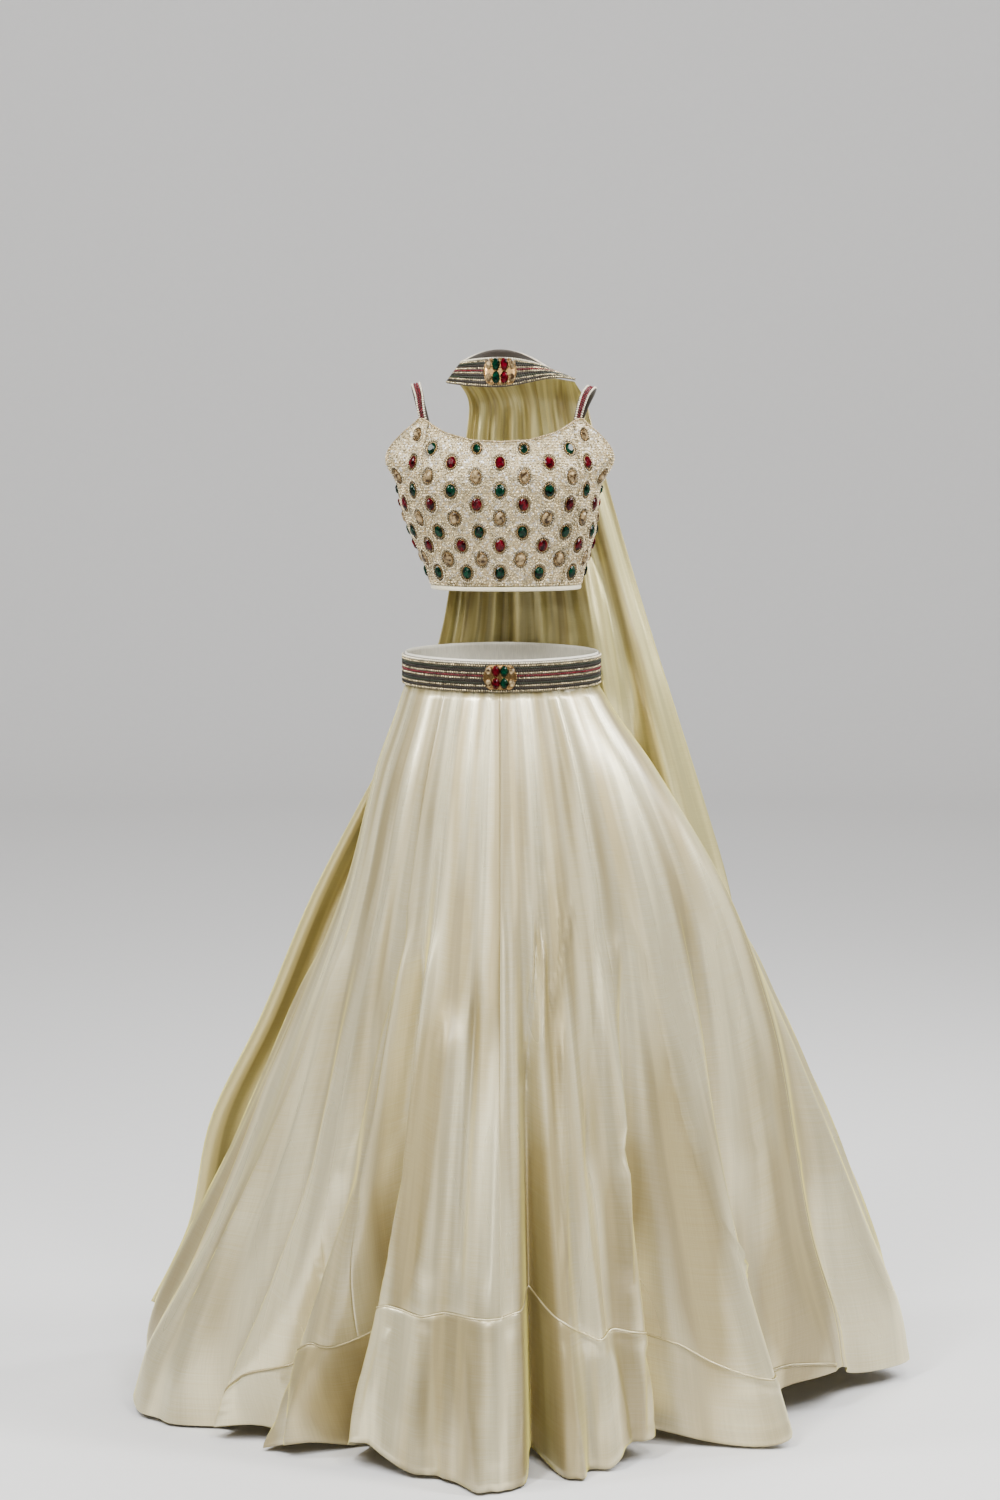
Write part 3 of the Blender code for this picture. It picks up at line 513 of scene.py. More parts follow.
# Straps
def path_point(points, share):
    """A point on a smooth curve through the given points."""
    last = len(points) - 1
    place = clamp(share) * last
    i = min(int(place), last - 1)
    t = place - i
    p0, p1 = Vector(points[max(i - 1, 0)]), Vector(points[i])
    p2, p3 = Vector(points[i + 1]), Vector(points[min(i + 2, last)])
    return 0.5 * (
        2.0 * p1
        + t * (p2 - p0)
        + t * t * (2.0 * p0 - 5.0 * p1 + 4.0 * p2 - p3)
        + t**3 * (3.0 * p1 - p0 - 3.0 * p2 + p3)
    )


def strap_path(side):
    """The middle of a strap's outside; side is 1 on the wearer's left, -1 on the right."""
    over = STRAP_OVER_LEFT if side > 0 else STRAP_OVER_RIGHT
    ends = [
        choli_point(side * math.radians(degrees), z, -STRAP_INSIDE)
        for degrees, z in (STRAP_FRONT_END, STRAP_BACK_END)
    ]
    return [ends[0], *over, ends[1]]


def strap_frame(path, side, share):
    """Middle point, direction across and direction away from the body, along a strap."""
    here = path_point(path, share)
    ahead = path_point(path, share + 0.02) - path_point(path, share - 0.02)
    front, top, back = (Vector(v) for v in STRAP_ACROSS)
    if share < 0.45:
        across = front.lerp(top, smooth(share / 0.45))
    else:
        across = top.lerp(back, smooth((share - 0.45) / 0.55))
    across = Vector((side * across.x, across.y, across.z)).normalized()
    away = (side * ahead).cross(across).normalized()
    return here, across, away


# Choker
def by_quarter(sizes, angle):
    """A value that runs smoothly round between its front, side and back values."""
    side = sizes["right"] if math.sin(angle) > 0 else sizes["left"]
    end = sizes["front"] if math.cos(angle) > 0 else sizes["back"]
    return end + (side - end) * math.sin(angle) ** 2


def choker_edge(angle, up, outward=0.0):
    """A point of the choker from its lower edge, up = 0, to its upper edge, up = 1."""
    lower, upper = on_plan(CHOKER_LOWER, angle), on_plan(CHOKER_UPPER, angle)
    low_z, high_z = by_quarter(CHOKER_LOWER_Z, angle), by_quarter(CHOKER_UPPER_Z, angle)
    from_lift = (signed_degrees(angle) - CHOKER_LIFT_AT_DEG) / CHOKER_LIFT_HALF_DEG
    low_z += CHOKER_LIFT * bell(from_lift)
    a = Vector((*lower, low_z))
    b = Vector((*upper, high_z))
    point = a.lerp(b, up)
    if outward:
        along = Vector((math.cos(angle), math.sin(angle), 0.0))
        point += outward * along.cross(b - a).normalized()
    return point


# Dupatta
def skirt_sizes_at(x, z):
    """The skirt's sizes at the back where its cloth passes a height, beside the given x."""
    turned, sizes = 0.5, None
    for _ in range(3):
        angle = math.pi - math.asin(turned)
        top = WAIST_SEAM_Z + waist_z(angle)
        share = clamp((top - z) / (top - hem_z(angle)))
        sizes = level_at(
            SKIRT_LEVELS, SKIRT_COLUMNS, WAIST_SEAM_Z + share * (FLOOR_Z - WAIST_SEAM_Z)
        )
        turned = clamp(x / (sizes["right"] if x > 0 else sizes["left"]), -1.0, 1.0)
    return sizes


def form_back_y(x, z):
    """How far back the choli, belt and skirt under the dupatta reach, at this place."""
    belt_low = BELT_MIDDLE_Z - 0.5 * BELT_HEIGHT
    if z >= CHOLI_HEM_Z:
        sizes = level_at(CHOLI_LEVELS, CHOLI_COLUMNS, z)
        grow = STONE_HEIGHT
    elif z > belt_low:
        belt = belt_sizes(BELT_OUTWARD)
        hem = level_at(CHOLI_LEVELS, CHOLI_COLUMNS, CHOLI_HEM_Z)
        share = smooth((z - 0.045) / (CHOLI_HEM_Z - 0.045))
        sizes = {k: belt[k] + share * (hem[k] + STONE_HEIGHT - belt[k]) for k in belt}
        grow = 0.0
    else:
        sizes = skirt_sizes_at(x, z)
        grow = BELT_OUTWARD * smooth((z + 0.10) / 0.08)
    side = (sizes["right"] if x > 0 else sizes["left"]) + grow
    share = clamp(abs(x) / side, 0.0, 0.90)
    swept = sizes.get("sweep", 0.0) * (share if x > 0 else 0.0)
    return (sizes["back"] + grow) * math.sqrt(1.0 - share**2) + swept


def dupatta_section(row, u):
    if row == 0:
        degrees = DUPATTA_NECK_FROM_DEG + (DUPATTA_NECK_TO_DEG - DUPATTA_NECK_FROM_DEG) * u
        neck = choker_edge(math.radians(degrees), 0.0, -CHOKER_THICK)
        return neck + Vector((0.0, 0.0, -2.0 * SEAM_GAP))
    level = dict(zip(DUPATTA_COLUMNS, DUPATTA_LEVELS[row - 1]))
    x = level["left"] + (level["right"] - level["left"]) * u
    ends = level["off_left"] * (1.0 - u) + level["off_right"] * u
    middle = math.sin(math.pi * u) ** 0.5
    off = ends + (level["off_middle"] - ends) * middle
    return Vector((x, form_back_y(x, level["z"]) + off, level["z"]))


def dupatta_point(u, v):
    """A point of the dupatta, u across from the wearer's right edge and v down from the neck."""
    rows = len(DUPATTA_LEVELS)
    place = clamp(v) * rows
    i = min(int(place), rows - 1)
    t = place - i
    p1, p2 = dupatta_section(i, u), dupatta_section(i + 1, u)
    m1 = 0.5 * (p2 - dupatta_section(max(i - 1, 0), u))
    m2 = 0.5 * (dupatta_section(min(i + 2, rows), u) - p1)
    point = curve_between(t, 1.0, p1, m1, p2, m2)
    clear = DUPATTA_REST_GAP * smooth(v / 0.06)
    phase = 2.0 * math.pi * (DUPATTA_WAVES * u + 0.35 * math.sin(5.0 * u) + 0.08 * math.sin(7.0 * v))
    height = DUPATTA_WAVE_TOP + (DUPATTA_WAVE_HEM - DUPATTA_WAVE_TOP) * v
    wave = height * smooth(v / 0.15) * 0.5 * (1.0 - math.cos(phase))
    if i > 0:
        point.y = max(point.y, form_back_y(point.x, point.z))
    point.y += (clear + wave + CLOTH) * smooth(v / 0.03)
    return point


# Soft ridges and troughs pressed into the skirt's silk: the angle from the front and the share
# of the length at the upper end, the same at the lower end, the half width and the rise
CREASES = (
    (-42.5, 0.275, -53.5, 0.635, 0.012, -0.005),
    (-53.5, 0.635, -58.0, 0.850, 0.010, -0.005),
    (-40.5, 0.320, -43.5, 0.680, 0.006, 0.004),
    (-35.0, 0.340, -40.0, 0.625, 0.010, -0.005),
    (-28.0, 0.300, -30.0, 0.780, 0.012, 0.004),
    (-18.0, 0.400, -19.5, 0.780, 0.028, 0.006),
    (-9.0, 0.360, -10.5, 0.770, 0.011, -0.005),
    (-2.5, 0.400, -5.0, 0.770, 0.018, -0.003),
    (1.5, 0.270, 2.5, 0.780, 0.004, 0.005),
    (17.0, 0.280, 10.0, 0.530, 0.006, -0.007),
    (19.0, 0.315, 14.0, 0.480, 0.006, 0.004),
    (27.0, 0.270, 20.0, 0.410, 0.003, 0.003),
    (33.5, 0.275, 20.0, 0.410, 0.003, 0.003),
    (23.0, 0.415, 17.0, 0.765, 0.010, 0.005),
    (42.0, 0.275, 27.0, 0.660, 0.012, -0.004),
    (47.5, 0.310, 39.0, 0.615, 0.018, 0.006),
    (39.0, 0.615, 35.5, 0.795, 0.016, 0.006),
    (54.5, 0.280, 60.0, 0.685, 0.004, 0.005),
    (60.0, 0.685, 80.0, 0.985, 0.004, 0.005),
    (52.0, 0.550, 63.5, 0.595, 0.003, 0.002),
    (63.5, 0.595, 87.0, 0.670, 0.003, 0.002),
    (87.0, 0.670, 101.5, 0.735, 0.003, 0.002),
    (-8.5, 0.130, -33.0, 0.135, 0.004, -0.0015),
    (12.0, 0.230, 23.0, 0.230, 0.004, -0.0015),
    (56.5, 0.700, 52.5, 0.715, 0.004, 0.002),
    (-72.0, 0.300, -82.0, 0.900, 0.014, 0.006),
    (-95.0, 0.350, -100.0, 0.950, 0.014, 0.006),
    (72.0, 0.260, 76.0, 0.860, 0.012, -0.004),
    (104.0, 0.300, 108.0, 0.900, 0.014, 0.006),
    (-62.0, 0.900, -57.0, 1.000, 0.012, 0.007),
    (-55.0, 0.880, -52.0, 1.000, 0.010, -0.006),
    (-47.0, 0.870, -50.0, 1.000, 0.014, 0.008),
    (-40.0, 0.860, -37.0, 1.000, 0.012, -0.007),
    (-28.0, 0.830, -33.0, 1.000, 0.014, 0.008),
    (-20.0, 0.800, -14.0, 1.000, 0.016, -0.006),
    (-8.0, 0.800, -4.0, 1.000, 0.018, 0.006),
    (3.0, 0.800, 1.0, 1.000, 0.012, -0.006),
    (15.0, 0.820, 18.0, 1.000, 0.012, 0.006),
    (24.0, 0.830, 21.0, 1.000, 0.014, -0.006),
    (30.0, 0.860, 33.0, 1.000, 0.014, 0.008),
    (42.0, 0.870, 38.0, 1.000, 0.014, -0.007),
    (50.0, 0.880, 54.0, 1.000, 0.012, 0.007),
    (60.0, 0.920, 57.0, 1.000, 0.010, -0.006),
)
CREASE_DEPTH = 1.8  # how strongly the creases above the flounce are pressed
BACK_CREASES = 9
BACK_CREASE_FROM = 120.0
BACK_CREASE_STEP = 15.5

# Unevenness of the hung silk: height, how fast it changes round the skirt and down it, and the
# share of the length over which it grows
SWELLS = ((0.0200, 4.2, 1.3, 0.9), (0.0075, 9.0, 2.0, 0.8))
TUCK_DEPTH = 0.0003  # of the tucks under the waistband
FLUTE_DEPTH = 0.0040
FLUTES_FROM = 0.90
HEM_RIPPLE = 0.0011
HEM_RIPPLE_FINE = 30.0
NO_RISE_FROM_DEG = 112.0  # the dupatta lies on the skirt behind this
NO_RISE_WITHIN_DEG = 14.0

# How stitches draw the silk in: depth, distance from the edge and half width; a negative depth
# lets it stand out
GORE_PINCHES = ((0.0004, 0.0, 0.0032),)
FLOUNCE_PINCHES = ((0.0007, 0.0, 0.0040), (-0.0014, 0.010, 0.012))
OVER_FLOUNCE_PINCHES = ((0.0007, 0.0, 0.0050), (0.0010, 0.0, 0.030))
HEM_STITCHES = ((0.0008, 0.022, 0.006),)
FLOUNCE_ENDS_DEG = (-75.0, 89.0)
SEAM_STEPS_M = (0.00003, 0.0010, 0.0026)
SKIRT_DROP = 1.06  # length of the silk from waist to hem, for distances down it
SEAM_REACH = 0.30  # usual distance of the seams from the middle, for distances across them
GORE_ROWS = 58
FLOUNCE_ROWS = 20
PIPING_RADIUS = 0.0013

# Dupatta's silk: gathers at the neck, then soft swells and a fine crumple
NECK_GATHERS = 13.0
GATHER_DEPTH = 0.0012
DUPATTA_SWELL = 0.009
DUPATTA_CRUMPLE = 0.0012
DUPATTA_GRID = (160, 96)
DUPATTA_DROP = 1.45

# Rows of beads on the bands, from the top edge down
BELT_ROWS = (
    "cream", "silver", "green", "dark", "silver", "red", "silver", "dark", "green", "silver",
    "dark", "silver",
)
STRAP_ROWS = ("cream", "red", "red", "cream")
# Stones go down a column in this order; each second column is one colour on
STONE_ORDER = ("red", "green", "clear")
STONE_COLOUR_SHIFT = 1
STONES_BELOW_TOP = 0.012
SMALL_STONES_WITHIN = 0.030  # of the top edge
SMALL_STONE = 0.80
STONE_DEPTH = 0.0044
WIRE = 0.0006  # radius of the wire round a stone
RINGS_OF_BEADS = ((0.0025, 20), (0.0053, 26))  # distance from the stone and number of beads
PEARLS_UP_TO = 0.362
PEARL_TO_STONE = 0.0070
PEARL_SHARE = 0.68  # of the small beads; the others are champagne
PEARL_RADIUS = 0.0016
CHAMPAGNE_RADIUS = 0.0013
CHOLI_CLOTH = 0.0014
CHOLI_ROWS = 24
CHOLI_SEAM_TURN = 0.0012
CHOLI_SEAM_PINCH = 0.0010
TOP_EDGE_BEADS = 330

CLASP_LOBES = (-0.28, 0.0, 0.28)  # centres of the plate's three lobes, in widths
CLASP_STONE_DEPTH = 0.0062
CLAWS = 6
CLASP_BORDER_BEADS = 44

# Studio: the floor's rings, and the curve and top of the wall that rises from its rim
FLOOR_RADII = (2.0, 5.0, 8.0)
RIM_CURVE = 1.5
WALL_HEIGHT = 7.0
FLOOR_SIDES = 72
LIGHT_COLOUR = (0.97, 0.985, 1.0)
# Name, place, aim, width, length and power
LIGHTS = (
    ("front_left_strip", (-1.0, -1.7, 1.8), (0.0, 0.0, -0.3), 0.30, 1.5, 82.0),
    ("front_right_strip", (0.8, -1.8, 1.8), (0.0, 0.0, -0.3), 0.22, 1.5, 42.0),
    ("left_strip", (-2.4, -0.5, 1.6), (0.0, 0.0, -0.5), 0.30, 1.6, 62.0),
    ("right_strip", (2.2, -0.6, 1.7), (0.0, 0.0, -0.5), 0.34, 1.6, 88.0),
    ("far_right_softbox", (2.7, 1.1, 1.6), (0.2, 0.1, -0.4), 0.5, 1.6, 60.0),
    ("high_front_softbox", (0.0, -4.4, 2.6), (0.0, 0.0, 0.1), 1.8, 1.0, 95.0),
    ("back_softbox", (0.8, 2.2, 2.4), (0.0, 0.0, 0.0), 1.0, 2.0, 60.0),
    ("wall_light", (0.0, 3.6, 4.6), (0.0, 8.8, 0.0), 6.0, 1.0, 260.0),
)
WORLD_STRENGTH = 0.16
CAMERA_PLACE = (0.0, -5.0, 0.375)
CAMERA_DOWN_DEG = 5.55


def linear(red, green, blue):
    """A colour from its screen values out of 255."""
    values = [value / 255.0 for value in (red, green, blue)]
    return tuple(v / 12.92 if v <= 0.04045 else ((v + 0.055) / 1.055) ** 2.4 for v in values)


def colour_of(name, description, *screen):
    """A colour to set, its default given as screen values out of 255."""
    return bpy.props.FloatVectorProperty(
        name=name, description=description, subtype="COLOR", default=linear(*screen), min=0.0,
        max=1.0,
    )


def length_of(name, description, default, low, high):
    """A length to set, in metres."""
    return bpy.props.FloatProperty(
        name=name, description=description, default=default, min=low, max=high, unit="LENGTH",
        precision=4,
    )


class SkirtSettings(bpy.types.PropertyGroup):
    silk: colour_of("Silk", "Colour of the skirt's silk", 221, 212, 178)
    shade_silk: colour_of(
        "Cross threads", "Colour of the threads that cross the silk", 205, 189, 132
    )
    cloth: length_of("Cloth", "Thickness of the skirt's cloth", 0.0011, 0.0004, 0.0018)
    column_width: bpy.props.FloatProperty(
        name="Column width", description="Angle between columns of the skirt's mesh",
        default=math.radians(0.85), min=math.radians(0.4), max=math.radians(3.0), subtype="ANGLE",
    )


class DupattaSettings(bpy.types.PropertyGroup):
    silk: colour_of("Silk", "Colour of the dupatta's silk", 212, 202, 136)
    border: colour_of("Border", "Colour of the dupatta's border", 198, 182, 118)
    cloth: length_of("Cloth", "Thickness of the dupatta's cloth", 0.0010, 0.0004, 0.0018)


class CholiSettings(bpy.types.PropertyGroup):
    ground: colour_of("Ground", "Colour of the cloth under the beads", 196, 178, 136)
    stone_width: length_of("Stone width", "Width of a stone", 0.0132, 0.006, 0.016)
    stone_height: length_of("Stone height", "Height of a stone", 0.0176, 0.008, 0.022)
    pearl_pitch: length_of(
        "Pearl pitch", "Distance between the pearls of the ground", 0.0042, 0.0034, 0.010
    )


class BeadSettings(bpy.types.PropertyGroup):
    pitch: length_of("Bead pitch", "Distance between the beads of a row", 0.0034, 0.0028, 0.008)
    red: colour_of("Red", "Colour of the red stones and beads", 118, 6, 26)
    green: colour_of("Green", "Colour of the green stones", 2, 66, 42)
    gold: colour_of("Gold", "Colour of the settings", 150, 118, 74)


class StageSettings(bpy.types.PropertyGroup):
    floor: colour_of("Floor", "Colour of the studio's floor and wall", 232, 230, 228)
    lens: bpy.props.FloatProperty(
        name="Lens", description="Focal length of the camera", default=84.24, min=20.0,
        max=200.0,
    )


# Materials
class Shader:
    """Builds one material's nodes."""

    def __init__(self, name):
        self.material = bpy.data.materials.new(name)
        self.material.use_nodes = True
        self.nodes = self.material.node_tree.nodes
        self.links = self.material.node_tree.links
        self.surface = self.nodes["Principled BSDF"]

    def add(self, kind, **values):
        node = self.nodes.new(kind)
        for key, value in values.items():
            if key in node.inputs:
                node.inputs[key].default_value = value
            else:
                setattr(node, key, value)
        return node

    def link(self, a, output, b, socket):
        self.links.new(a.outputs[output], b.inputs[socket])

    def set(self, **values):
        for key, value in values.items():
            self.surface.inputs[key.replace("_", " ")].default_value = value

    def scaled(self, coordinates, scale):
        """Texture coordinates stretched by a scale along each direction."""
        mapping = self.add("ShaderNodeMapping")
        mapping.inputs["Scale"].default_value = scale
        self.link(self.coordinates, coordinates, mapping, "Vector")
        return mapping

    @property
    def coordinates(self):
        found = [n for n in self.nodes if n.bl_idname == "ShaderNodeTexCoord"]
        return found[0] if found else self.add("ShaderNodeTexCoord")

    def noise(self, coordinates, scale, detail=3.0, roughness=0.5):
        node = self.add("ShaderNodeTexNoise", Scale=1.0, Detail=detail, Roughness=roughness)
        self.link(self.scaled(coordinates, scale), "Vector", node, "Vector")
        return node

    def ramp(self, node, output, *stops):
        """A ramp through stops, each a place and a colour, or one number for a grey."""
        ramp = self.add("ShaderNodeValToRGB")
        elements = ramp.color_ramp.elements
        while len(elements) < len(stops):
            elements.new(0.5)
        for element, (place, colour) in zip(elements, stops):
            element.position = place
            element.color = (*(colour if isinstance(colour, tuple) else 3 * (colour,)), 1.0)
        self.link(node, output, ramp, "Fac")
        return ramp

    def mix(self, first, second, factor=0.5, blend="MIX"):
        """Mixes two colours, each a colour or a (node, output); the factor may be one too."""
        node = self.add("ShaderNodeMix", data_type="RGBA", blend_type=blend)
        for value, index in ((factor, 0), (first, 6), (second, 7)):
            if isinstance(value, tuple) and hasattr(value[0], "outputs"):
                self.links.new(value[0].outputs[value[1]], node.inputs[index])
            elif index:
                node.inputs[index].default_value = (*value, 1.0)
            else:
                node.inputs[index].default_value = value
        return node, 2

    def bump(self, node, output, strength, distance, before=None):
        bump = self.add("ShaderNodeBump", Strength=strength, Distance=distance)
        self.link(node, output, bump, "Height")
        if before:
            self.link(before, "Normal", bump, "Normal")
        return bump

    def finish(self, colour=None, roughness=None, bump=None):
        if colour:
            self.links.new(colour[0].outputs[colour[1]], self.surface.inputs["Base Color"])
        if roughness:
            self.links.new(roughness[0].outputs[roughness[1]], self.surface.inputs["Roughness"])
        if bump:
            self.link(bump, "Normal", self.surface, "Normal")
        return self.material


def darker(colour, share):
    """A colour brought down to a share of its brightness."""
    return tuple(share * c for c in colour)


def silk_material(name, warp, weft, gloss=0.33, border=None, turn=0.25):
    """Tissue silk, its coordinates in metres across and down the cloth: slubby threads both
    ways, a fine weave, and painted sheen: broad and narrow bands of painted highlight and
    painted shade down the cloth. The turn sets the way that its gloss runs."""
    s = Shader(name)
    down = s.noise("UV", (1500.0, 14.0, 1.0), 2.0)
    across = s.noise("UV", (20.0, 1500.0, 1.0), 2.0)
    # painted sheen: this noise lays broad bands down the cloth that stand in for the highlights and shade
    # on the folds, and it also varies the gloss
    tone = s.noise("UV", (13.0, 1.8, 1.0), 2.0)
    threads = s.mix(warp, weft, (s.ramp(across, "Fac", (0.20, 0), (0.86, 1)), 0))
    streaks = s.ramp(down, "Fac", (0.32, 0.93), (0.68, 1.04))
    colour = s.mix(threads, (streaks, 0), 1.0, "MULTIPLY")
    # the painted sheen bands: warm beige painted shade and cool ivory painted highlight
    tones = s.ramp(tone, "Fac", (0.42, (0.57, 0.515, 0.39)), (0.57, (1.07, 1.08, 1.13)))
    colour = s.mix(colour, (tones, 0), 1.0, "MULTIPLY")
    # painted highlight and shade: narrower crisp bands down the cloth that stand in for the light and shade
    # on fold ridges
    folds = s.noise("UV", (34.0, 1.3, 1.0), 2.0)
    painted_fold_bands = s.ramp(folds, "Fac", (0.43, 0.80), (0.56, 1.06))
    colour = s.mix(colour, (painted_fold_bands, 0), 1.0, "MULTIPLY")
    if border:
        edge = s.add("ShaderNodeSeparateXYZ")
        s.link(s.coordinates, "UV", edge, "Vector")
        inside = s.ramp(edge, "X", (0.028, 0), (0.030, 1))
        colour = s.mix(border, colour, (inside, 0))
    rough = s.ramp(tone, "Fac", (0.4, gloss + 0.08), (0.6, gloss - 0.06))
    weave = s.add("ShaderNodeTexWave", Scale=1.0, Distortion=0.6, bands_direction="X")
    s.link(s.scaled("UV", (520.0, 0.0, 0.0)), "Vector", weave, "Vector")
    bump = s.bump(weave, "Fac", 0.05, 0.0002)
    bump = s.bump(across, "Fac", 0.05, 0.0002, bump)
    bump = s.bump(down, "Fac", 0.07, 0.0002, bump)
    along = s.add("ShaderNodeTangent", direction_type="UV_MAP", uv_map="UVMap")
    s.link(along, "Tangent", s.surface, "Tangent")
    s.set(
        Metallic=0.48, Specular_IOR_Level=1.0, Anisotropic=0.35, Anisotropic_Rotation=turn,
        Coat_Weight=0.6, Coat_Roughness=0.20, Sheen_Weight=1.0, Sheen_Roughness=0.30,
        Sheen_Tint=(1.0, 0.87, 0.24, 1.0),
    )
    return s.finish(colour, (rough, 0), bump)


def bead_material(name, colour, metal, gloss, spread=0.25):
    """Glossy beads that differ a little from one to the next."""
    s = Shader(name)
    cells = s.add("ShaderNodeTexVoronoi", Scale=290.0)
    s.link(s.coordinates, "Object", cells, "Vector")
    split = s.add("ShaderNodeSeparateColor")
    s.link(cells, "Color", split, "Color")
    shade = s.ramp(split, "Red", (0.0, 1.0 - spread), (1.0, 1.0 + 0.5 * spread))
    tinted = s.mix(colour, (shade, 0), 1.0, "MULTIPLY")
    rough = s.ramp(split, "Green", (0.0, gloss * 0.7), (1.0, gloss * 1.5))
    grain = s.noise("Object", (900.0, 900.0, 900.0), 1.0)
    s.set(Metallic=metal, Specular_IOR_Level=0.35, Coat_Weight=0.08, Coat_Roughness=0.1)
    return s.finish(tinted, (rough, 0), s.bump(grain, "Fac", 0.08, 0.0002))


def stone_material(name, dark, light):
    """A glossy cut stone with faint clouds in it."""
    s = Shader(name)
    clouds = s.noise("Object", (160.0, 160.0, 160.0), 2.0)
    colour = s.ramp(clouds, "Fac", (0.38, dark), (0.72, light))
    flaws = s.noise("Object", (420.0, 420.0, 420.0), 3.0)
    rough = s.ramp(flaws, "Fac", (0.3, 0.04), (0.8, 0.14))
    s.set(Specular_IOR_Level=0.15, IOR=1.5)
    return s.finish((colour, 0), (rough, 0), s.bump(clouds, "Fac", 0.03, 0.0003))


def metal_material(name, colour):
    s = Shader(name)
    worn = s.noise("Object", (260.0, 260.0, 260.0), 4.0)
    shade = s.ramp(worn, "Fac", (0.3, darker(colour, 0.62)), (0.7, colour))
    rough = s.ramp(worn, "Fac", (0.3, 0.38), (0.7, 0.20))
    s.set(Metallic=1.0)
    return s.finish((shade, 0), (rough, 0), s.bump(worn, "Fac", 0.12, 0.0004))


def ground_material(name, colour):
    """Cloth under beadwork: small round sequins in ivory, silver and champagne."""
    s = Shader(name)
    cells = s.add("ShaderNodeTexVoronoi", Scale=310.0, Randomness=0.8)
    s.link(s.coordinates, "Object", cells, "Vector")
    split = s.add("ShaderNodeSeparateColor")
    s.link(cells, "Color", split, "Color")
    tones = s.ramp(
        split, "Red", (0.0, darker(colour, 0.6)), (0.3, darker(colour, 0.85)),
        (0.7, colour), (1.0, linear(226, 224, 220)),
    )
    # painted shade: each sequin darker towards its rim and in the gaps between the sequins
    painted_gap_shade = s.ramp(cells, "Distance", (0.25, 1.0), (0.62, 0.68))
    shaded = s.mix((tones, 0), (painted_gap_shade, 0), 1.0, "MULTIPLY")
    rough = s.ramp(split, "Green", (0.0, 0.22), (1.0, 0.55))
    s.set(Metallic=0.3, Specular_IOR_Level=0.6)
    return s.finish(shaded, (rough, 0), s.bump(cells, "Distance", 0.5, 0.0012))


def cloth_material(name, colour, gloss=0.6):
    """Plain woven cloth, its coordinates in metres."""
    s = Shader(name)
    threads = s.noise("UV", (700.0, 60.0, 1.0), 2.0)
    crossing = s.noise("UV", (60.0, 700.0, 1.0), 2.0)
    dark = darker(colour, 0.82)
    shade = s.mix(dark, colour, (s.ramp(threads, "Fac", (0.3, 0), (0.7, 1)), 0))
    rough = s.ramp(crossing, "Fac", (0.3, gloss - 0.06), (0.7, gloss + 0.08))
    bump = s.bump(crossing, "Fac", 0.3, 0.0005, s.bump(threads, "Fac", 0.3, 0.0005))
    s.set(Sheen_Weight=0.25, Sheen_Roughness=0.5)
    return s.finish(shade, (rough, 0), bump)


def get_material(name):
    """The named finish, made the first time that a piece asks for it."""
    if name in bpy.data.materials:
        return bpy.data.materials[name]
    scene = bpy.context.scene
    beads, choli, dupatta = scene.lehenga_beads, scene.lehenga_choli, scene.lehenga_dupatta
    skirt = scene.lehenga_skirt
    red, green, gold = tuple(beads.red), tuple(beads.green), tuple(beads.gold)
    silk, shade_silk = tuple(skirt.silk), tuple(skirt.shade_silk)
    sheer, border = tuple(dupatta.silk), tuple(dupatta.border)
    finishes = {
        "skirt silk": (silk_material, silk, shade_silk),
        "flounce silk": (silk_material, silk, shade_silk, 0.36, None, 0.05),
        "dupatta silk": (silk_material, sheer, border, 0.38, border),
        "waistband cloth": (cloth_material, linear(222, 216, 196)),
        "piping cloth": (cloth_material, linear(218, 208, 176), 0.45),
        "bead cloth": (cloth_material, linear(50, 40, 28)),
        "choli ground": (ground_material, tuple(choli.ground)),
        "gold metal": (metal_material, gold),
        "pearls": (bead_material, linear(216, 198, 156), 0.25, 0.20, 0.8),
        "champagne beads": (bead_material, linear(196, 172, 128), 0.55, 0.22),
        "cream beads": (bead_material, linear(226, 214, 186), 0.1, 0.25),
        "silver beads": (bead_material, linear(196, 180, 140), 0.75, 0.22, 0.8),
        "ring beads": (bead_material, linear(216, 200, 164), 0.5, 0.20, 0.6),
        "dark beads": (bead_material, linear(34, 26, 14), 0.1, 0.45, 0.5),
        "ring silver": (bead_material, linear(92, 76, 52), 0.7, 0.24, 0.7),
        "red beads": (bead_material, darker(red, 0.7), 0.1, 0.26, 0.5),
        "green beads": (bead_material, linear(30, 38, 18), 0.1, 0.40, 0.5),
        "red stone": (stone_material, darker(red, 0.03), darker(red, 0.6)),
        "green stone": (stone_material, darker(green, 0.03), darker(green, 0.6)),
        "clear stone": (stone_material, linear(48, 34, 20), linear(176, 152, 112)),
    }
    maker, *values = finishes[name]
    return maker(name, *values)


# Mesh helpers
def piece_from(name, verts, faces, material, smooth=True, uvs=None):
    """A named piece that rides on the set. uvs holds one pair for each point."""
    data = bpy.data.meshes.new(name)
    data.from_pydata([tuple(v) for v in verts], [], faces)
    data.validate()
    if smooth:
        data.shade_smooth()
    if uvs is not None:
        layer = data.uv_layers.new(name="UVMap")
        corners = np.empty(len(data.loops), dtype=np.int64)
        data.loops.foreach_get("vertex_index", corners)
        layer.data.foreach_set("uv", np.asarray(uvs, dtype=np.float32)[corners].ravel())
    data.materials.append(get_material(material))
    obj = bpy.data.objects.new(name, data)
    bpy.context.scene.collection.objects.link(obj)
    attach(obj, BODY)
    return obj


def grid_normals(points, ring=False):
    """The outward direction at each point of a grid of columns that run down the cloth and
    follow each other to the left, seen from outside."""
    if ring:
        wrapped = np.concatenate([points[-1:], points, points[:1]])
        across = wrapped[2:] - wrapped[:-2]
    else:
        across = np.gradient(points, axis=0)
    down = np.gradient(points, axis=1)
    normals = np.cross(down, across)
    return normals / np.maximum(np.linalg.norm(normals, axis=2, keepdims=True), 1e-12)


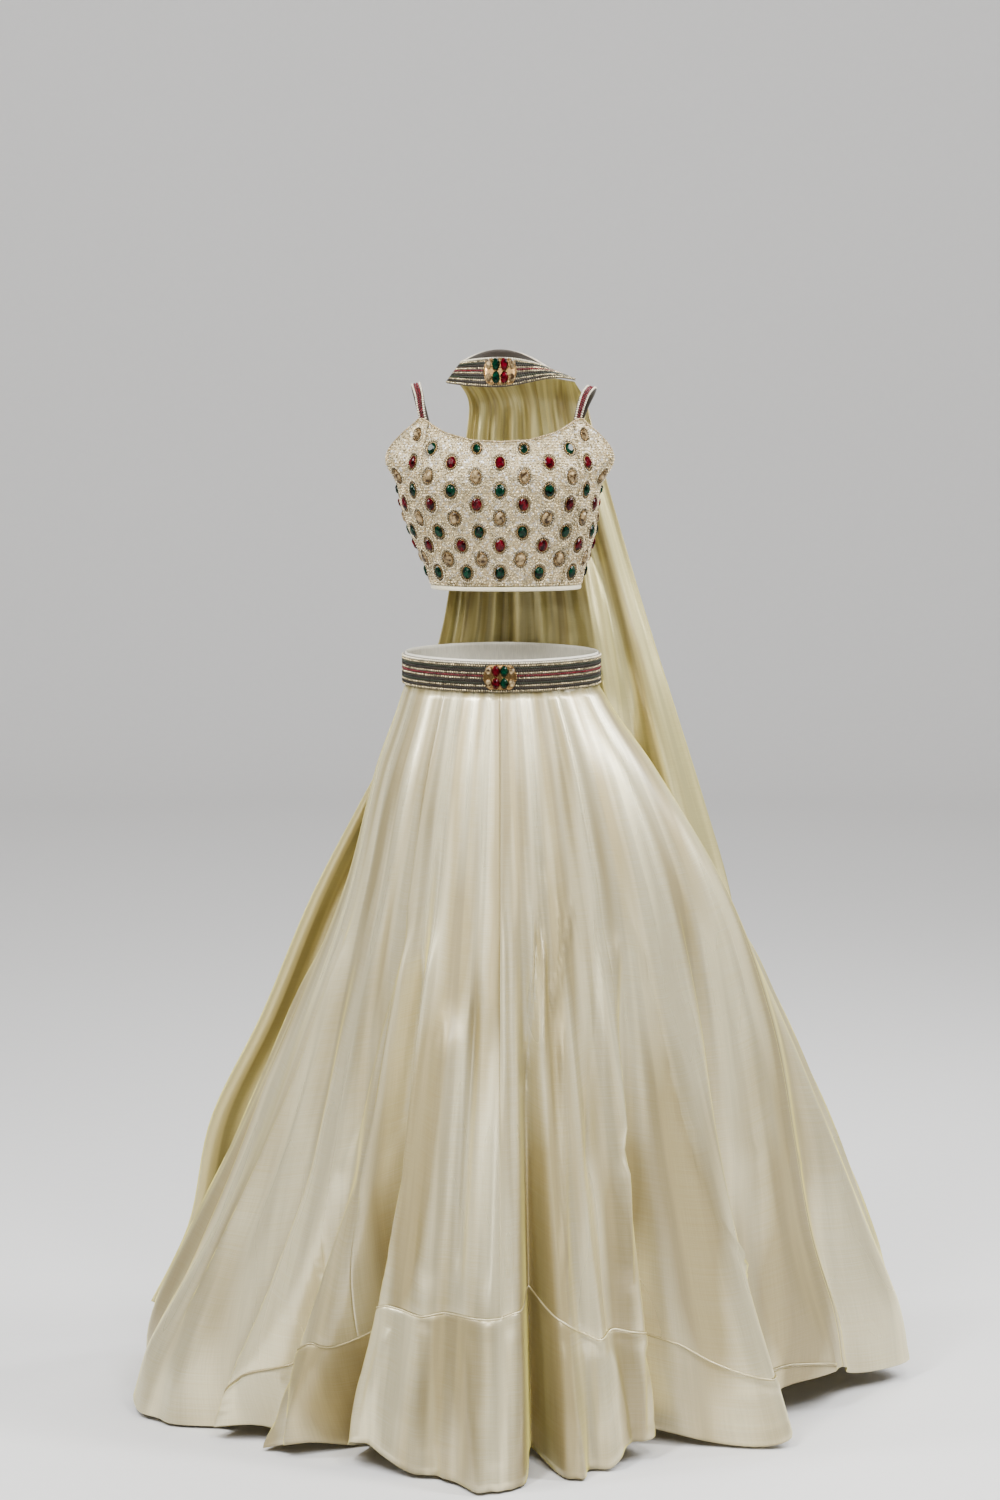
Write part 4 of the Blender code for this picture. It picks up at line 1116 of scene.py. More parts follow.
def sheet_piece(name, points, thick, uvs, material, ring=False, side=0.35):
    """A closed sheet of cloth behind a grid of outer points, its rim rounded."""
    points = np.asarray(points, dtype=float)
    normals = grid_normals(points, ring)
    inside = points - normals * thick
    soft = np.zeros(points.shape[:2])
    soft[:, 0] = soft[:, -1] = 0.35 * thick
    if not ring:
        soft[0, :] = soft[-1, :] = side * thick
    outer = points - normals * soft[..., None]
    inner = inside + normals * soft[..., None]
    columns, rows = points.shape[:2]
    count = columns * rows
    verts = np.concatenate([outer.reshape(-1, 3), inner.reshape(-1, 3)])
    faces = []
    span = columns if ring else columns - 1
    for c in range(span):
        n = (c + 1) % columns
        for r in range(rows - 1):
            a, b = c * rows + r, n * rows + r
            faces.append((a, a + 1, b + 1, b))
            faces.append((count + a, count + b, count + b + 1, count + a + 1))
        for r, flip in ((0, False), (rows - 1, True)):
            a, b = c * rows + r, n * rows + r
            rim = (a, b, count + b, count + a)
            faces.append(rim[::-1] if flip else rim)
    if not ring:
        for c, flip in ((0, True), (columns - 1, False)):
            for r in range(rows - 1):
                a = c * rows + r
                rim = (a, a + 1, count + a + 1, count + a)
                faces.append(rim[::-1] if flip else rim)
    uv = np.asarray(uvs, dtype=float).reshape(-1, 2)
    return piece_from(name, verts, faces, material, uvs=np.concatenate([uv, uv]))


def cut_of(points):
    """The width, length and area of the cloth that a grid of points was cut from."""
    points = np.asarray(points, dtype=float)
    widths = np.linalg.norm(np.diff(points, axis=0), axis=2).sum(axis=0)
    lengths = np.linalg.norm(np.diff(points, axis=1), axis=2).sum(axis=1)
    a, b = points[:-1, :-1], points[1:, 1:]
    c, d = points[1:, :-1], points[:-1, 1:]
    area = 0.5 * np.linalg.norm(np.cross(b - a, d - c), axis=2).sum()
    width, length = float(widths.max()), float(lengths.max())
    return (width, length), min(float(area), width * length)


def declare_sheet(piece, points):
    flat, area = cut_of(points)


def ball_shape():
    """Points and faces of a round bead of radius 1."""
    rings = [
        (0.8944 * math.cos(0.4 * math.pi * (k + turn)), 0.8944 * math.sin(0.4 * math.pi * (k + turn)), z)
        for turn, z in ((0.0, 0.4472), (0.5, -0.4472))
        for k in range(5)
    ]
    pairs = [(k, (k + 1) % 5) for k in range(5)]
    faces = [(0, 1 + k, 1 + n) for k, n in pairs]
    faces += [(1 + k, 6 + k, 1 + n) for k, n in pairs]
    faces += [(6 + k, 6 + n, 1 + n) for k, n in pairs]
    faces += [(11, 6 + n, 6 + k) for k, n in pairs]
    return np.array([(0, 0, 1), *rings, (0, 0, -1)]), faces


def bead_piece(name, centres, radius, material):
    """Many small round beads in one piece."""
    shape, faces = ball_shape()
    centres = np.asarray(centres, dtype=float)
    radii = np.broadcast_to(np.asarray(radius, dtype=float), (len(centres),))
    verts = (centres[:, None, :] + shape[None] * radii[:, None, None]).reshape(-1, 3)
    index = np.asarray(faces)[None] + (np.arange(len(centres)) * len(shape))[:, None, None]
    return piece_from(name, verts, index.reshape(-1, 3).tolist(), material)


def gem_shape(width, height, depth, sides=12):
    """A cut oval stone: a girdle, a crown of facets and a flat table, facing +Y."""
    rings = ((1.0, 0.0), (1.0, 0.28), (0.82, 0.68), (0.55, 1.0))
    verts, faces = [], []
    for size, out in rings:
        for k in range(sides):
            turn = 2.0 * math.pi * (k + 0.5 * (size in (0.82,))) / sides
            verts.append(
                (0.5 * width * size * math.cos(turn), out * depth, 0.5 * height * size * math.sin(turn))
            )
    for ring in range(len(rings) - 1):
        for k in range(sides):
            a, b = ring * sides + k, ring * sides + (k + 1) % sides
            faces.append((a, a + sides, b + sides))
            faces.append((a, b + sides, b))
    faces.append(tuple(range(sides)))
    faces.append(tuple(reversed(range((len(rings) - 1) * sides, len(rings) * sides))))
    return np.array(verts), faces


def ring_shape(width, height, wire, sides=20, around=6):
    """An oval wire ring that lies flat, facing +Y."""
    verts, faces = [], []
    for k in range(sides):
        turn = 2.0 * math.pi * k / sides
        for j in range(around):
            bend = 2.0 * math.pi * j / around
            verts.append(
                (
                    (0.5 * width + wire * math.cos(bend)) * math.cos(turn),
                    wire * (1.0 + math.sin(bend)),
                    (0.5 * height + wire * math.cos(bend)) * math.sin(turn),
                )
            )
            a, b = k * around + j, k * around + (j + 1) % around
            n = ((k + 1) % sides) * around
            faces.append((a, b, n + (j + 1) % around, n + j))
    return np.array(verts), faces


def place_shapes(name, places, material, smooth=False):
    """Copies of shapes in one piece. Each place is (shape, centre, across, outward, up)."""
    verts, faces, start = [], [], 0
    for (points, sides), centre, across, outward, up in places:
        frame_axes = np.array([across, outward, up], dtype=float)
        verts.append(points @ frame_axes + np.asarray(centre, dtype=float))
        faces += [tuple(start + i for i in side) for side in sides]
        start += len(points)
    piece = piece_from(name, np.concatenate(verts), faces, material, smooth=smooth)
    mesh = bmesh.new()
    mesh.from_mesh(piece.data)
    bmesh.ops.recalc_face_normals(mesh, faces=mesh.faces)
    mesh.to_mesh(piece.data)
    mesh.free()
    return piece


def even_places(curve, count, closed=True):
    """Values along a curve function of 0 to 1 that stand at equal distances."""
    fine = np.linspace(0.0, 1.0, 721)
    points = np.array([curve(t) for t in fine.tolist()])
    total = np.concatenate([[0.0], np.linalg.norm(np.diff(points, axis=0), axis=1).cumsum()])
    stops = np.linspace(0.0, total[-1], count + closed)[:count]
    return np.interp(stops, total, fine).tolist(), float(total[-1])


def band_beads(prefix, surface, rows, low, high, lift, closed):
    """Rows of beads on a band. surface(t, height, outward) gives its points; height runs from
    low to high and the first row is the highest."""
    pitch = bpy.context.scene.lehenga_beads.pitch
    by_colour = {}
    for number, colour in enumerate(rows):
        height = high - (number + 0.5) * (high - low) / len(rows)
        _, length = even_places(lambda t: surface(t, height, lift), 2)
        count = max(int(length / pitch), 4)
        places, _ = even_places(lambda t: surface(t, height, lift), count, closed)
        shift = 0.5 * (number % 2) / count
        for t in places:
            t = (t + shift) % 1.0 if closed else min(t + shift, 1.0)
            by_colour.setdefault(colour, []).append(surface(t, height, lift))
    for colour, centres in by_colour.items():
        bead_piece(f"{prefix}_beads_{colour}", centres, 0.47 * pitch, f"{colour} beads")


# Skirt
def crease_height(angle, share, reach):
    """How far the pressed creases raise the silk."""
    degrees, height = signed_degrees(angle), 0.0
    for first, top, second, bottom, half, rise in ALL_CREASES:
        low, high = min(first, second) - 6.0, max(first, second) + 6.0
        if not (low < degrees < high and top - 0.06 < share < bottom + 0.06):
            continue
        scale = math.radians(1.0) * reach
        ax, ay, bx, by = first * scale, top * SKIRT_DROP, second * scale, bottom * SKIRT_DROP
        px, py = degrees * scale, share * SKIRT_DROP
        length = (bx - ax) ** 2 + (by - ay) ** 2
        t = clamp(((px - ax) * (bx - ax) + (py - ay) * (by - ay)) / length)
        away = math.hypot(px - ax - t * (bx - ax), py - ay - t * (by - ay))
        ends = smooth(t / 0.18) * (1.0 if bottom > 0.97 else smooth((1.0 - t) / 0.12))
        height += rise * bell(away / half) * ends * (1.0 if top > 0.79 else CREASE_DEPTH)
    return height


def all_creases():
    """The creases of the front, and plainer ones that follow each other round the back."""
    rows = list(CREASES)
    for k in range(BACK_CREASES):
        angle = signed_degrees(math.radians(BACK_CREASE_FROM + BACK_CREASE_STEP * k))
        way = 1.0 if k % 2 else -1.0
        rows.append((angle, 0.25 + 0.05 * (k % 3), angle + 3.0 * way, 0.93, 0.013, 0.005 * way))
    return rows


ALL_CREASES = all_creases()


def silk_point(angle, share):
    """The skirt's outside with its creases and the small unevenness of hung silk."""
    point = skirt_point(angle, share)
    reach = point.xy.length
    rise = crease_height(angle, share, reach)
    ring = Vector((math.sin(angle), math.cos(angle), 0.0))
    down = Vector((0.0, 0.0, share))
    for height, around, along, grown in SWELLS:
        rise += height * smooth(share / grown) * noise.noise(around * ring + along * down)
    tucks = math.sin(math.degrees(angle) * 0.52 + 2.0 * math.sin(3.0 * angle))
    rise += TUCK_DEPTH * tucks * smooth(share / 0.015) * (1.0 - smooth((share - 0.03) / 0.16))
    degrees = signed_degrees(angle)
    flutes = math.sin(math.radians(41.0 * degrees) + 1.6 * math.sin(math.radians(9.0 * degrees)))
    rise += FLUTE_DEPTH * flutes * smooth((share - FLUTES_FROM) / (1.0 - FLUTES_FROM))
    near_hem = smooth((share - 0.78) / 0.2)
    fine = reach * HEM_RIPPLE_FINE
    low = Vector((math.sin(angle) * fine, math.cos(angle) * fine, share * HEM_RIPPLE_FINE))
    rise += HEM_RIPPLE * near_hem * noise.noise(low)
    rise -= smooth((abs(degrees) - NO_RISE_FROM_DEG) / NO_RISE_WITHIN_DEG) * max(rise, 0.0)
    return point + outward_at(angle) * rise


def panel_angles(start, end, step):
    """Angles of a panel's columns, closer at both seams and where the flounce ends."""
    seam = [offset / SEAM_REACH for offset in SEAM_STEPS_M]
    count = max(int((end - start) / step), 4)
    inner = [start + (end - start) * k / count for k in range(1, count)]
    limits = [math.radians(d + turn) for d in FLOUNCE_ENDS_DEG for turn in (0.0, 360.0)]
    for limit in limits:
        if start + 0.02 < limit < end - 0.02:
            inner += [limit - 0.0006, limit + 0.0006]
    inner = [a for a in inner if start + 1.8 * seam[-1] < a < end - 1.8 * seam[-1]]
    return sorted([start + s for s in seam] + inner + [end - s for s in seam])


def pinched(distance, rows):
    """How far a row of stitches or a seam draws the silk in, at a distance from the edge."""
    return sum(depth * bell((distance - middle) / half) for depth, middle, half in rows)


def skirt_piece(name, start, end, settings, flounce=False):
    """One panel of the skirt, pinched at its seams, with a stitched hem."""
    angles = panel_angles(start, end, settings.column_width)
    points, uvs = [], []
    for angle in angles:
        degrees = signed_degrees(angle)
        covered = FLOUNCE_ENDS_DEG[0] <= degrees <= FLOUNCE_ENDS_DEG[1]
        seam = min(seam_share(angle), 1.0) if covered else 1.0
        gap = SEAM_STEPS_M[0] / SKIRT_DROP
        if flounce:
            rows = range(FLOUNCE_ROWS + 1)
            shares = [seam + gap + (1.0 - seam - gap) * k / FLOUNCE_ROWS for k in rows]
            shares.insert(1, shares[0] + 0.0016)
            shares.insert(2, shares[0] + 0.0036)
        else:
            last = seam - gap if seam < 1.0 else 1.0
            shares = [last * (k / GORE_ROWS) ** 1.04 for k in range(GORE_ROWS + 1)]
            shares.insert(-1, shares[-1] - 0.0030)
            shares.insert(-1, shares[-1] - 0.0014)
        column = []
        for share in shares:
            pinch = pinched(min(angle - start, end - angle) * SEAM_REACH, GORE_PINCHES)
            if flounce:
                pinch += pinched((share - shares[0]) * SKIRT_DROP, FLOUNCE_PINCHES)
            elif seam < 1.0:
                pinch += pinched((shares[-1] - share) * SKIRT_DROP, OVER_FLOUNCE_PINCHES)
            if seam == 1.0 or flounce:
                pinch += pinched((1.0 - share) * SKIRT_DROP, HEM_STITCHES)
            column.append(tuple(silk_point(angle, share) - outward_at(angle) * pinch))
            uvs.append((angle * 0.36, share * SKIRT_DROP))
        points.append(column)
    material = "flounce silk" if flounce else "skirt silk"
    return sheet_piece(name, points, settings.cloth, uvs, material, side=0.15), points


def tube_piece(name, path, radius, material, sides=8):
    """A thin cord along a path, its ends closed."""
    path = np.asarray(path, dtype=float)
    ahead = np.gradient(path, axis=0)
    ahead /= np.linalg.norm(ahead, axis=1, keepdims=True)
    side = np.cross(ahead, np.array([0.0, 0.0, 1.0]))
    side /= np.linalg.norm(side, axis=1, keepdims=True)
    up = np.cross(side, ahead)
    turns = 2.0 * np.pi * np.arange(sides) / sides
    rings = path[:, None] + radius * (
        np.cos(turns)[None, :, None] * side[:, None] + np.sin(turns)[None, :, None] * up[:, None]
    )
    far = np.concatenate([[0.0], np.linalg.norm(np.diff(path, axis=0), axis=1).cumsum()])
    faces = [
        (r * sides + k, (r + 1) * sides + k, (r + 1) * sides + (k + 1) % sides, r * sides + (k + 1) % sides)
        for r in range(len(path) - 1)
        for k in range(sides)
    ]
    faces += [tuple(range(sides)), tuple(reversed(range(len(rings) * sides - sides, len(rings) * sides)))]
    uvs = [(radius * k, far[r]) for r in range(len(path)) for k in range(sides)]
    return piece_from(name, rings.reshape(-1, 3), faces, material, uvs=uvs)


class LEHENGA_OT_skirt(bpy.types.Operator):
    """Make the skirt's eight gores and the two halves of its flounce"""

    bl_idname = "lehenga.skirt"
    bl_label = "Skirt"

    def execute(self, context):
        settings = context.scene.lehenga_skirt
        ends = GORE_SEAMS[1:] + (SKIRT_STEPS,)
        for number, (start, end) in enumerate(zip(GORE_SEAMS, ends), start=1):
            node = f"gore_{number}"
            first, last = skirt_angle(start), skirt_angle(end)
            piece, grid = skirt_piece(f"{node}_silk", first, last, settings)
            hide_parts(node)
            declare_sheet(piece, grid)
        split = math.radians(FLOUNCE_SPLIT_DEG)
        low, high = (math.radians(d) for d in FLOUNCE_ENDS_DEG)
        for node, start, end in (("flounce_right", low, split), ("flounce_left", split, high)):
            piece, grid = skirt_piece(f"{node}_silk", start, end, settings, flounce=True)
            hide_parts(node)
            declare_sheet(piece, grid)
        path = []
        for k in range(361):
            angle = low + (high - low) * k / 360
            path.append(silk_point(angle, seam_share(angle)) + outward_at(angle) * SEAM_GAP)
        piping = tube_piece("flounce_piping", path, PIPING_RADIUS, "skirt silk")
        return {"FINISHED"}


# Waist
def band_point(sizes, t, height, outward):
    angle = 2.0 * math.pi * t
    grown = {side: value + outward for side, value in sizes.items()}
    x, y = on_plan(grown, angle)
    return Vector((x, y, height + waist_z(math.atan2(x, -y))))


def ring_piece(name, curve, heights, thick, material, steps=240):
    """A closed band round the body. curve(t, k) gives its outer points, highest first."""
    points = [[tuple(curve(c / steps, k)) for k in range(heights)] for c in range(steps)]
    uvs = [(0.8 * c / steps, 0.006 * k) for c in range(steps) for k in range(heights)]
    return sheet_piece(name, points, thick, uvs, material, ring=True), points


class LEHENGA_OT_waist(bpy.types.Operator):
    """Make the waistband and the beaded belt over it"""

    bl_idname = "lehenga.waist"
    bl_label = "Waistband and belt"

    def execute(self, context):
        low = BELT_MIDDLE_Z - 0.5 * BELT_HEIGHT
        high = BELT_MIDDLE_Z + 0.5 * BELT_HEIGHT
        base = belt_sizes(0.0)
        top, bottom = high + BAND_ABOVE_BELT, WAIST_SEAM_Z + SEAM_GAP

        def band(t, k):
            height = top + (bottom - top) * k / 9
            return band_point(base, t, height, 0.0006 - 0.0003 * math.sin(60.0 * math.pi * t))

        piece, points = ring_piece("waistband_cloth", band, 10, 0.0014, "waistband cloth")
        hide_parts("waistband")
        opened = points + points[:1]
        declare_sheet(piece, opened)

        def belt(t, k):
            height = high + (low - high) * k / 8
            return band_point(base, t, height, BELT_OUTWARD - 0.0016)

        piece, _ = ring_piece("belt_cloth", belt, 9, 0.0013, "bead cloth")
        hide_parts("belt")
        band_beads(
            "belt", lambda t, h, out: band_point(base, t, h, out), BELT_ROWS,
            low + 0.0004, high - 0.0004, BELT_OUTWARD - 0.0010, True,
        )
        return {"FINISHED"}


# Choli
def choli_frame(angle, z, outward=0.0):
    """A point on the choli with its directions across, outward and up."""
    point = choli_point(angle, z, outward)
    across = (choli_point(angle + 0.02, z) - choli_point(angle - 0.02, z)).normalized()
    up = (choli_point(angle, z + 0.004) - choli_point(angle, z - 0.004)).normalized()
    out = across.cross(up).normalized()
    return point, across, out, out.cross(across).normalized()


def stone_places():
    """Angle, height, colour and scale of each stone."""
    found = []
    for column in range(STONE_COLUMNS):
        angle = choli_angle(column * GRID_PER_STONE)
        top = choli_top(angle)
        line = STONE_FIRST_ROW + (column % 2) * STONE_ROWS_PER_STEP // 2
        number = 0
        while CHOLI_HEM_Z + line * STONE_ROW < top - STONES_BELOW_TOP:
            z = CHOLI_HEM_Z + line * STONE_ROW
            colour = STONE_ORDER[(STONE_COLOUR_SHIFT + column % 2 - number) % 3]
            small = SMALL_STONE if z > top - SMALL_STONES_WITHIN else 1.0
            found.append((angle, z, colour, small))
            line += STONE_ROWS_PER_STEP
            number += 1
    return found


class LEHENGA_OT_choli(bpy.types.Operator):
    """Make the choli's panels, its piping and its top edge"""

    bl_idname = "lehenga.choli"
    bl_label = "Choli panels"

    def execute(self, context):
        panels = (
            ("choli_front", -SIDE_FRONT_SEAM, SIDE_FRONT_SEAM),
            ("choli_side_left", SIDE_FRONT_SEAM, SIDE_SEAM),
            ("choli_back", SIDE_SEAM, CHOLI_STEPS - SIDE_SEAM),
            ("choli_side_right", CHOLI_STEPS - SIDE_SEAM, CHOLI_STEPS - SIDE_FRONT_SEAM),
        )
        for node, first, last in panels:
            count = int((last - first) * 3)
            points, uvs = [], []
            for c in range(count + 1):
                step = first + (last - first) * c / count
                angle = choli_angle(step)
                if c in (0, count):
                    angle += CHOLI_SEAM_TURN * (1 if c == 0 else -1)
                top = choli_top(angle)
                column = []
                for k in range(CHOLI_ROWS + 1):
                    z = top + (CHOLI_HEM_Z - top) * k / CHOLI_ROWS
                    pinch = CHOLI_SEAM_PINCH if c in (0, count) else 0.0
                    column.append(tuple(choli_point(angle, z, -0.0002 - pinch)))
                    uvs.append((0.011 * step, z))
                points.append(column)
            piece = sheet_piece(f"{node}_cloth", points, CHOLI_CLOTH, uvs, "choli ground")
            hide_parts(node)
            declare_sheet(piece, points)

        def binding(t, k):
            angle = choli_angle(CHOLI_STEPS * t)
            z = CHOLI_HEM_Z - SEAM_GAP - BINDING_HEIGHT * k / 8
            round_out = 0.0012 * math.sin(math.pi * k / 8) ** 0.6
            return choli_point(angle, z, -0.0006 + round_out)

        piece, _ = ring_piece("choli_piping", binding, 9, 0.0018, "piping cloth")
        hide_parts("choli_binding")

        def edge(t):
            angle = choli_angle(CHOLI_STEPS * t)
            return choli_point(angle, choli_top(angle) - 0.0012, 0.0004)

        places, _ = even_places(edge, TOP_EDGE_BEADS)
        bead_piece("choli_top_edge_beads", [edge(t) for t in places], 0.0013, "champagne beads")
        return {"FINISHED"}


class LEHENGA_OT_stones(bpy.types.Operator):
    """Set the choli with stones, their rings of beads and the pearls between them"""

    bl_idname = "lehenga.stones"
    bl_label = "Choli stones and pearls"

    def execute(self, context):
        settings = context.scene.lehenga_choli
        width, height = settings.stone_width, settings.stone_height
        stones, wires, ring_beads, centres = {}, [], ([], []), []
        for angle, z, colour, small in stone_places():
            point, across, out, up = choli_frame(angle, z, 0.0002)
            w, h = width * small, height * small
            stones.setdefault(colour, []).append(
                (gem_shape(w, h, STONE_DEPTH), point, across, out, up)
            )
            wires.append((ring_shape(w + 0.0010, h + 0.0010, WIRE), point, across, out, up))
            for ring, (away, count) in enumerate(RINGS_OF_BEADS):
                for k in range(count):
                    turn = 2.0 * math.pi * k / count
                    side = (0.5 * w + away * small) * math.cos(turn)
                    rise = (0.5 * h + away * small) * math.sin(turn)
                    place = point + across * side + up * rise + out * (0.0008 - 0.0004 * ring)
                    ring_beads[ring].append(place)
            centres.append((point, w, h, across, up))
        for colour, places in stones.items():
            place_shapes(f"choli_stones_{colour}", places, f"{colour} stone")
        place_shapes("choli_stone_settings", wires, "gold metal", smooth=True)
        bead_piece("choli_inner_rings", ring_beads[0], 0.00115, "ring silver")
        bead_piece("choli_outer_rings", ring_beads[1], 0.00140, "ring beads")

        rng = random.Random(7)
        middles = np.array([tuple(c[0]) for c in centres])
        pitch = settings.pearl_pitch
        pearls = {"pearls": [], "champagne": []}
        z, row = CHOLI_HEM_Z + 0.5 * pitch, 0
        while z < PEARLS_UP_TO:
            fine = even_places(lambda t: choli_point(choli_angle(CHOLI_STEPS * t), z), 2)[1]
            count = int(fine / pitch)
            for k in range(count):
                t = (k + 0.5 * (row % 2) + rng.uniform(-0.22, 0.22)) / count
                angle = choli_angle(CHOLI_STEPS * t)
                height_here = z + rng.uniform(-0.2, 0.2) * pitch
                if height_here > choli_top(angle) - 0.003:
                    continue
                point = choli_point(angle, height_here, 0.0004)
                away = middles - np.array(tuple(point))
                near = int((away**2).sum(axis=1).argmin())
                _, w, h, across, up = centres[near]
                gap = Vector(-away[near])
                side, rise = gap.dot(across), gap.dot(up)
                clear_w, clear_h = 0.5 * w + PEARL_TO_STONE, 0.5 * h + PEARL_TO_STONE
                if (side / clear_w) ** 2 + (rise / clear_h) ** 2 < 1.0:
                    continue
                pearls["pearls" if rng.random() < PEARL_SHARE else "champagne"].append(point)
            z += 0.88 * pitch
            row += 1
        sizes = [PEARL_RADIUS * rng.uniform(0.8, 1.15) for _ in pearls["pearls"]]
        bead_piece("choli_pearls", pearls["pearls"], sizes, "pearls")
        sizes = [CHAMPAGNE_RADIUS * rng.uniform(0.8, 1.15) for _ in pearls["champagne"]]
        bead_piece("choli_champagne_beads", pearls["champagne"], sizes, "champagne beads")
        return {"FINISHED"}


class LEHENGA_OT_straps(bpy.types.Operator):
    """Make the two shoulder straps and their rows of beads"""

    bl_idname = "lehenga.straps"
    bl_label = "Straps"

    def execute(self, context):
        for node, side in (("strap_left", 1), ("strap_right", -1)):
            path = strap_path(side)

            def surface(t, height, outward):
                here, across, inward = strap_frame(path, side, t)
                return here + across * height - inward * (STRAP_THICK + outward)

            points, uvs = [], []
            for c in range(81):
                t = c / 80
                column = []
                for k in range(7):
                    across = (k / 6 - 0.5) * STRAP_WIDTH * side
                    column.append(tuple(surface(t, across, -0.0010)))
                    uvs.append((0.3 * t, 0.003 * k))
                points.append(column)
            points = np.array(points)
            inward = strap_frame(path, side, 0.5)[2]
            if Vector(grid_normals(points)[40, 3]).dot(inward) > 0:
                points = points[:, ::-1]
            piece = sheet_piece(f"{node}_cloth", points, 0.0012, uvs, "bead cloth")
            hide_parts(node)
            half = 0.5 * STRAP_WIDTH
            band_beads(
                node, lambda t, h, out: surface(0.03 + 0.94 * t, h, out), STRAP_ROWS,
                -half, half, -0.0002, False,
            )
        return {"FINISHED"}


class LEHENGA_OT_choker(bpy.types.Operator):
    """Make the beaded choker"""

    bl_idname = "lehenga.choker"
    bl_label = "Choker"

    def execute(self, context):
        def band(t, k):
            return choker_edge(2.0 * math.pi * t, 1.0 - k / 8, -0.0010)

        piece, _ = ring_piece("choker_cloth", band, 9, 0.0015, "bead cloth")
        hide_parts("choker")
        band_beads(
            "choker", lambda t, h, out: choker_edge(2.0 * math.pi * t, h, out), BELT_ROWS,
            0.01, 0.99, -0.0004, True,
        )
        return {"FINISHED"}


# Dupatta
def dupatta_silk_point(u, v):
    """The dupatta with the small gathers at its neck and its soft unevenness."""
    point = dupatta_point(u, v)
    gathers = GATHER_DEPTH * smooth(v / 0.02) * (1.0 - smooth(v / 0.30))
    phase = 2.0 * math.pi * (NECK_GATHERS * u + 0.8 * math.sin(9.0 * u))
    point.y += gathers * (1.0 + math.sin(phase))
    soft = noise.noise(Vector((12.0 * u, 2.2 * v, 1.5)))
    point.y += DUPATTA_SWELL * smooth(v / 0.25) * (0.5 + 0.5 * soft)
    point.y += DUPATTA_CRUMPLE * smooth(v / 0.1) * noise.noise(Vector((40.0 * u, 12.0 * v, 4.0)))
    return point


class LEHENGA_OT_dupatta(bpy.types.Operator):
    """Make the dupatta that falls from the choker"""

    bl_idname = "lehenga.dupatta"
    bl_label = "Dupatta"

    def execute(self, context):
        settings = context.scene.lehenga_dupatta
        columns, rows = DUPATTA_GRID
        points, uvs = [], []
        for c in range(columns + 1):
            u = 1.0 - c / columns
            column = []
            for k in range(rows + 1):
                v = (k / rows) ** 1.1
                column.append(tuple(dupatta_silk_point(u, v)))
                uvs.append((u, DUPATTA_DROP * v))
            points.append(column)
        piece = sheet_piece("dupatta_silk", points, settings.cloth, uvs, "dupatta silk")
        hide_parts("dupatta")
        declare_sheet(piece, points)
        return {"FINISHED"}


# Clasps
def clasp_places(prefix):
    """Centre, directions across, outward and up of a clasp's plate, and how tall it is."""
    thick = CLASP_PLATE[1]
    across = Vector((1.0, 0.0, 0.0))
    if prefix == "belt_clasp":
        front = belt_sizes(BELT_OUTWARD)["front"]
        centre = Vector((0.0, -(front + SEAM_GAP + 0.5 * thick), BELT_MIDDLE_Z - WAIST_DIP))
        return centre, across, Vector((0.0, -1.0, 0.0)), Vector((0.0, 0.0, 1.0)), 1.0
    slope = choker_edge(0.0, 1.0) - choker_edge(0.0, 0.0)
    tilt = -math.atan2(slope.y, slope.z)
    out = Vector((0.0, -math.cos(tilt), -math.sin(tilt)))
    centre = choker_edge(0.0, 0.5) + out * (SEAM_GAP + 0.5 * thick)
    return centre, across, out, across.cross(-out).normalized(), CHOKER_CLASP_TALLER


class LEHENGA_OT_clasps(bpy.types.Operator):
    """Make the two clasps: pierced gold plates with cut stones in claws"""

    bl_idname = "lehenga.clasps"
    bl_label = "Clasps"

    def execute(self, context):
        inner = {
            "belt_clasp": {"inner_right": "red", "inner_left": "green"},
            "choker_clasp": {"inner_right": "green", "inner_left": "red"},
        }
        width, thick, height = CLASP_PLATE
        for prefix, colours in inner.items():
            centre, across, out, up, taller = clasp_places(prefix)
            back = centre - out * 0.5 * thick
            lobe = gem_shape(0.46 * width, height * taller, thick, 20)
            plate = [(lobe, back + across * x * width, across, out, up) for x in CLASP_LOBES]
            piece = place_shapes(f"{prefix}_gold", plate, "gold metal")
            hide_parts(f"{prefix}_plate")
            front = centre + out * (0.5 * thick)
            claws, rims = [], []
            for row, way in (("upper", 1.0), ("lower", -1.0)):
                for place, x, w, h in CLASP_STONES:
                    h *= taller
                    middle = front + across * x + up * (way * CLASP_ROW_UP * taller)
                    colour = colours.get(place, "clear")
                    node = f"{prefix}_stone_{row}_{place}"
                    gem = place_shapes(
                        node + "_gem", [(gem_shape(w, h, CLASP_STONE_DEPTH, 14), middle, across, out, up)],
                        f"{colour} stone",
                    )
                    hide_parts(node)
                    rim = ring_shape(w - 0.0002, h - 0.0002, WIRE)
                    rims.append((rim, middle, across, out, up))
                    for k in range(CLAWS):
                        turn = 2.0 * math.pi * (k + 0.5) / CLAWS
                        side, rise = 0.48 * w * math.cos(turn), 0.48 * h * math.sin(turn)
                        claws.append(middle + out * 0.0022 + across * side + up * rise)
            place_shapes(f"{prefix}_rims", rims, "gold metal", smooth=True)
            bead_piece(f"{prefix}_claws", claws, 0.0007, "gold metal")
            border = []
            for k in range(CLASP_BORDER_BEADS):
                turn = 2.0 * math.pi * k / CLASP_BORDER_BEADS
                side = 0.52 * width * math.cos(turn)
                rise = 0.49 * height * taller * math.sin(turn)
                border.append(front + across * side + up * rise)
            bead_piece(f"{prefix}_border", border, 0.0010, "gold metal")
        return {"FINISHED"}


